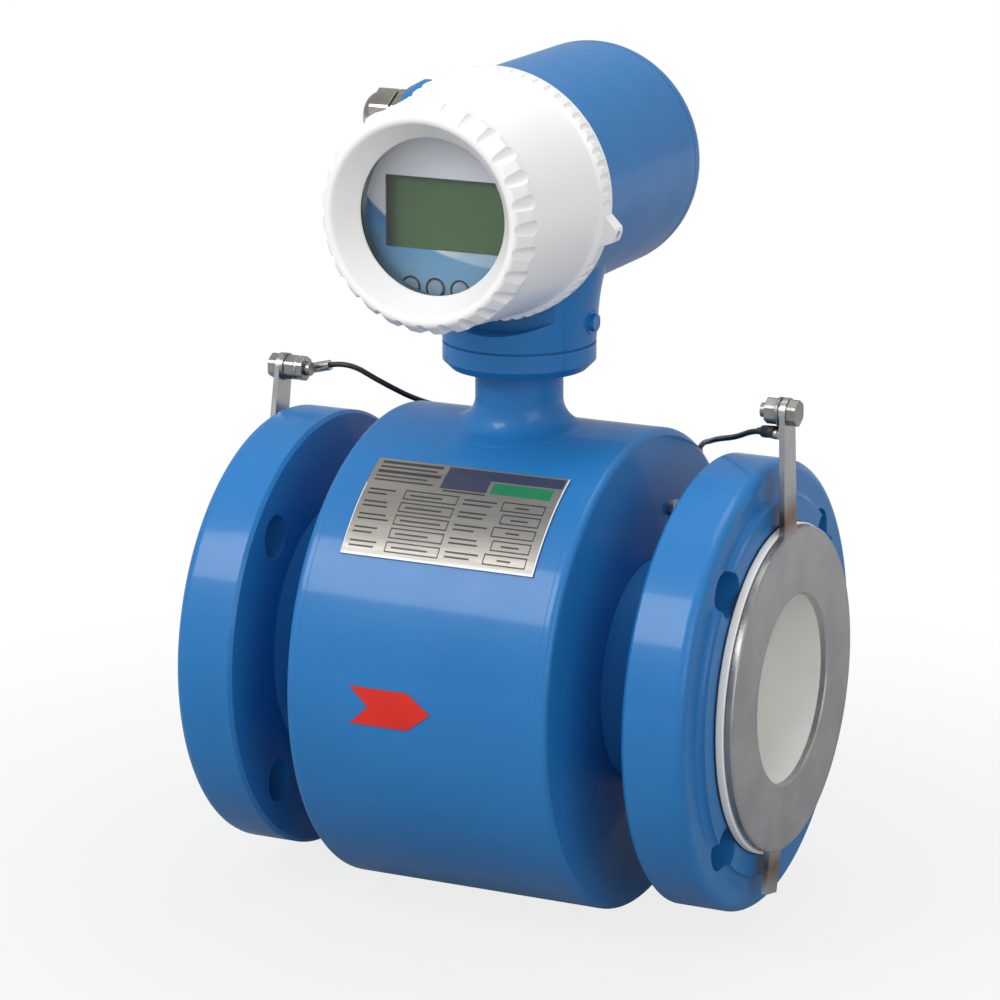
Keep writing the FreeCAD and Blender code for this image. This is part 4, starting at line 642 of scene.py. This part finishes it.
def liner_lip_profile():
    """The lip's section, as x and radius: rounded at both outer edges."""
    low = LINER_LIP_BACK_X
    straight = LINER_LIP_RADIUS - LINER_LIP_EDGE
    profile = [(low, LINER_LIP_INNER_RADIUS), (low, straight)]
    for step in range(LINER_LIP_EDGE_STEPS + 1):
        turn = math.pi / 2 * step / LINER_LIP_EDGE_STEPS
        profile.append((low + LINER_LIP_EDGE * (1 - math.cos(turn)),
                        straight + LINER_LIP_EDGE * math.sin(turn)))
    return profile + [(low + LINER_LIP_FRONT_X - x, radius) for x, radius in reversed(profile)]


def add_liner_lips():
    """The rim of the white liner, turned out over each raised face behind the earthing ring."""
    profile = liner_lip_profile()
    for side, end in ((-1, "inlet"), (1, "outlet")):
        verts = [mm(side * x, radius * math.cos(turn), radius * math.sin(turn))
                 for x, radius in profile for turn in turns(RING_STEPS)]
        faces = wrapped_faces(len(profile), RING_STEPS, flip=side < 0)
        add_mesh(end + "_liner_lip", verts, faces, PTFE)


def add_sleeve():
    """The black sleeve shrunk over the outlet lug's barrel and the end of its lead."""
    end = mm(*OUTLET_LEAD[0])
    along = (mm(*OUTLET_LEAD[1]) - end).normalized()
    across = along.cross(Vector((0, 0, 1))).normalized()
    above = across.cross(along)
    wide = LUG_BARREL_RADIUS + SLEEVE_WALL
    thin = LEAD_DIAMETER / 2 + SLEEVE_WALL
    profile = [(-LUG_BARREL_LENGTH, LUG_BARREL_RADIUS - SLEEVE_WALL), (-LUG_BARREL_LENGTH, wide),
               (SLEEVE_TAPER_START, wide), (SLEEVE_TAPER_END, thin), (SLEEVE_END, thin),
               (SLEEVE_END, LEAD_DIAMETER / 2 - SLEEVE_TUCK)]
    verts = []
    for distance, radius in profile:
        for turn in turns(SLEEVE_SIDES):
            ray = across * math.cos(turn) + above * math.sin(turn)
            verts.append(end + along * distance / 1000 + ray * radius / 1000)
    faces = wrapped_faces(len(profile), SLEEVE_SIDES)
    add_mesh("outlet_lead_sleeve", verts, faces, BLACK)


# ---- studio, in metres and watts ----------------------------------------------------------
FLOOR_REACH = 6
FLOOR_GREY = (0.36, 0.36, 0.37, 1.0)
WORLD_LIGHT = 0.55
WHITE_LIGHT = (1, 1, 1, 1)
LAMP_AIM = Vector((0, 0, 0.08))
# name, place, width, height and power of each lamp
LAMPS = [("key", (-0.9, -1.5, 1.5), 0.9, 0.9, 26),
         ("fill", (1.5, -1.1, 0.7), 1.0, 1.2, 9),
         ("top", (0.1, 0.3, 1.9), 1.2, 1.0, 12)]


def add_floor():
    """A plain floor that keeps the shadow and looks white further out and in reflections."""
    low = CAD_BOX[0][2]
    far = FLOOR_REACH
    mesh = bpy.data.meshes.new("floor")
    corners = [(-far, -far, low), (far, -far, low), (far, far, low), (-far, far, low)]
    mesh.from_pydata(corners, [], [(0, 1, 2, 3)])
    floor = bpy.data.objects.new("floor", mesh)
    bpy.context.scene.collection.objects.link(floor)
    n = Nodes("floor")
    x, y, _ = n.axes()
    reach = n.reach(x, y)
    n.fixed(Base_Color=FLOOR_GREY, Roughness=0.8)
    white = n.add("ShaderNodeEmission")
    white.inputs["Strength"].default_value = 1.0
    path = n.add("ShaderNodeLightPath")
    in_gloss = n.math("MAXIMUM", path.outputs["Is Glossy Ray"],
                      path.outputs["Is Transmission Ray"])
    far_white = n.math("MULTIPLY", in_gloss, n.fit(reach, 0.4, 1.6, 0.1, 1, smooth=True))
    paler = n.fit(reach, 0.1, 0.5, 0.82, 1, smooth=True)
    seen = n.math("MULTIPLY", path.outputs["Is Camera Ray"], paler)
    share = n.math("MAXIMUM", seen, far_white)
    both = n.add("ShaderNodeMixShader")
    n.link(share, both.inputs[0])
    n.link(n.shader.outputs[0], both.inputs[1])
    n.link(white.outputs[0], both.inputs[2])
    n.link(both.outputs[0], n.tree.nodes["Material Output"].inputs["Surface"])
    floor.data.materials.append(n.material)


def add_lamp(name, place, width, height, power):
    """A soft rectangular lamp that faces the object."""
    data = bpy.data.lights.new(name, "AREA")
    data.shape = "RECTANGLE"
    data.size = width
    data.size_y = height
    data.energy = power
    lamp = bpy.data.objects.new(name, data)
    bpy.context.scene.collection.objects.link(lamp)
    lamp.location = place
    lamp.rotation_euler = (Vector(place) - LAMP_AIM).to_track_quat("Z", "Y").to_euler()


def add_world():
    """Soft light from all round, with white where the camera or the window looks at it."""
    world = bpy.data.worlds.new("world")
    bpy.context.scene.world = world
    world.use_nodes = True
    tree = world.node_tree
    background = tree.nodes["Background"]
    background.inputs["Color"].default_value = WHITE_LIGHT
    background.inputs["Strength"].default_value = WORLD_LIGHT
    seen = tree.nodes.new("ShaderNodeBackground")
    seen.inputs["Strength"].default_value = 1.0
    seen.inputs["Color"].default_value = WHITE_LIGHT
    path = tree.nodes.new("ShaderNodeLightPath")
    rays = tree.nodes.new("ShaderNodeMath")
    rays.operation = "MAXIMUM"
    tree.links.new(path.outputs["Is Camera Ray"], rays.inputs[0])
    tree.links.new(path.outputs["Is Transmission Ray"], rays.inputs[1])
    both = tree.nodes.new("ShaderNodeMixShader")
    tree.links.new(rays.outputs[0], both.inputs[0])
    tree.links.new(background.outputs[0], both.inputs[1])
    tree.links.new(seen.outputs[0], both.inputs[2])
    tree.links.new(both.outputs[0], tree.nodes["World Output"].inputs["Surface"])


add_camera()
add_lead("inlet_lead", INLET_LEAD, "inlet_earth_lead")
add_lead("outlet_lead", OUTLET_LEAD, "outlet_earth_lead")
dress_nodes()
print_name_plate()
add_beads()
add_neck_foot()
add_liner_lips()
add_sleeve()
add_floor()
add_world()
for lamp_row in LAMPS:
    add_lamp(*lamp_row)
bpy.context.scene.view_settings.view_transform = "Standard"
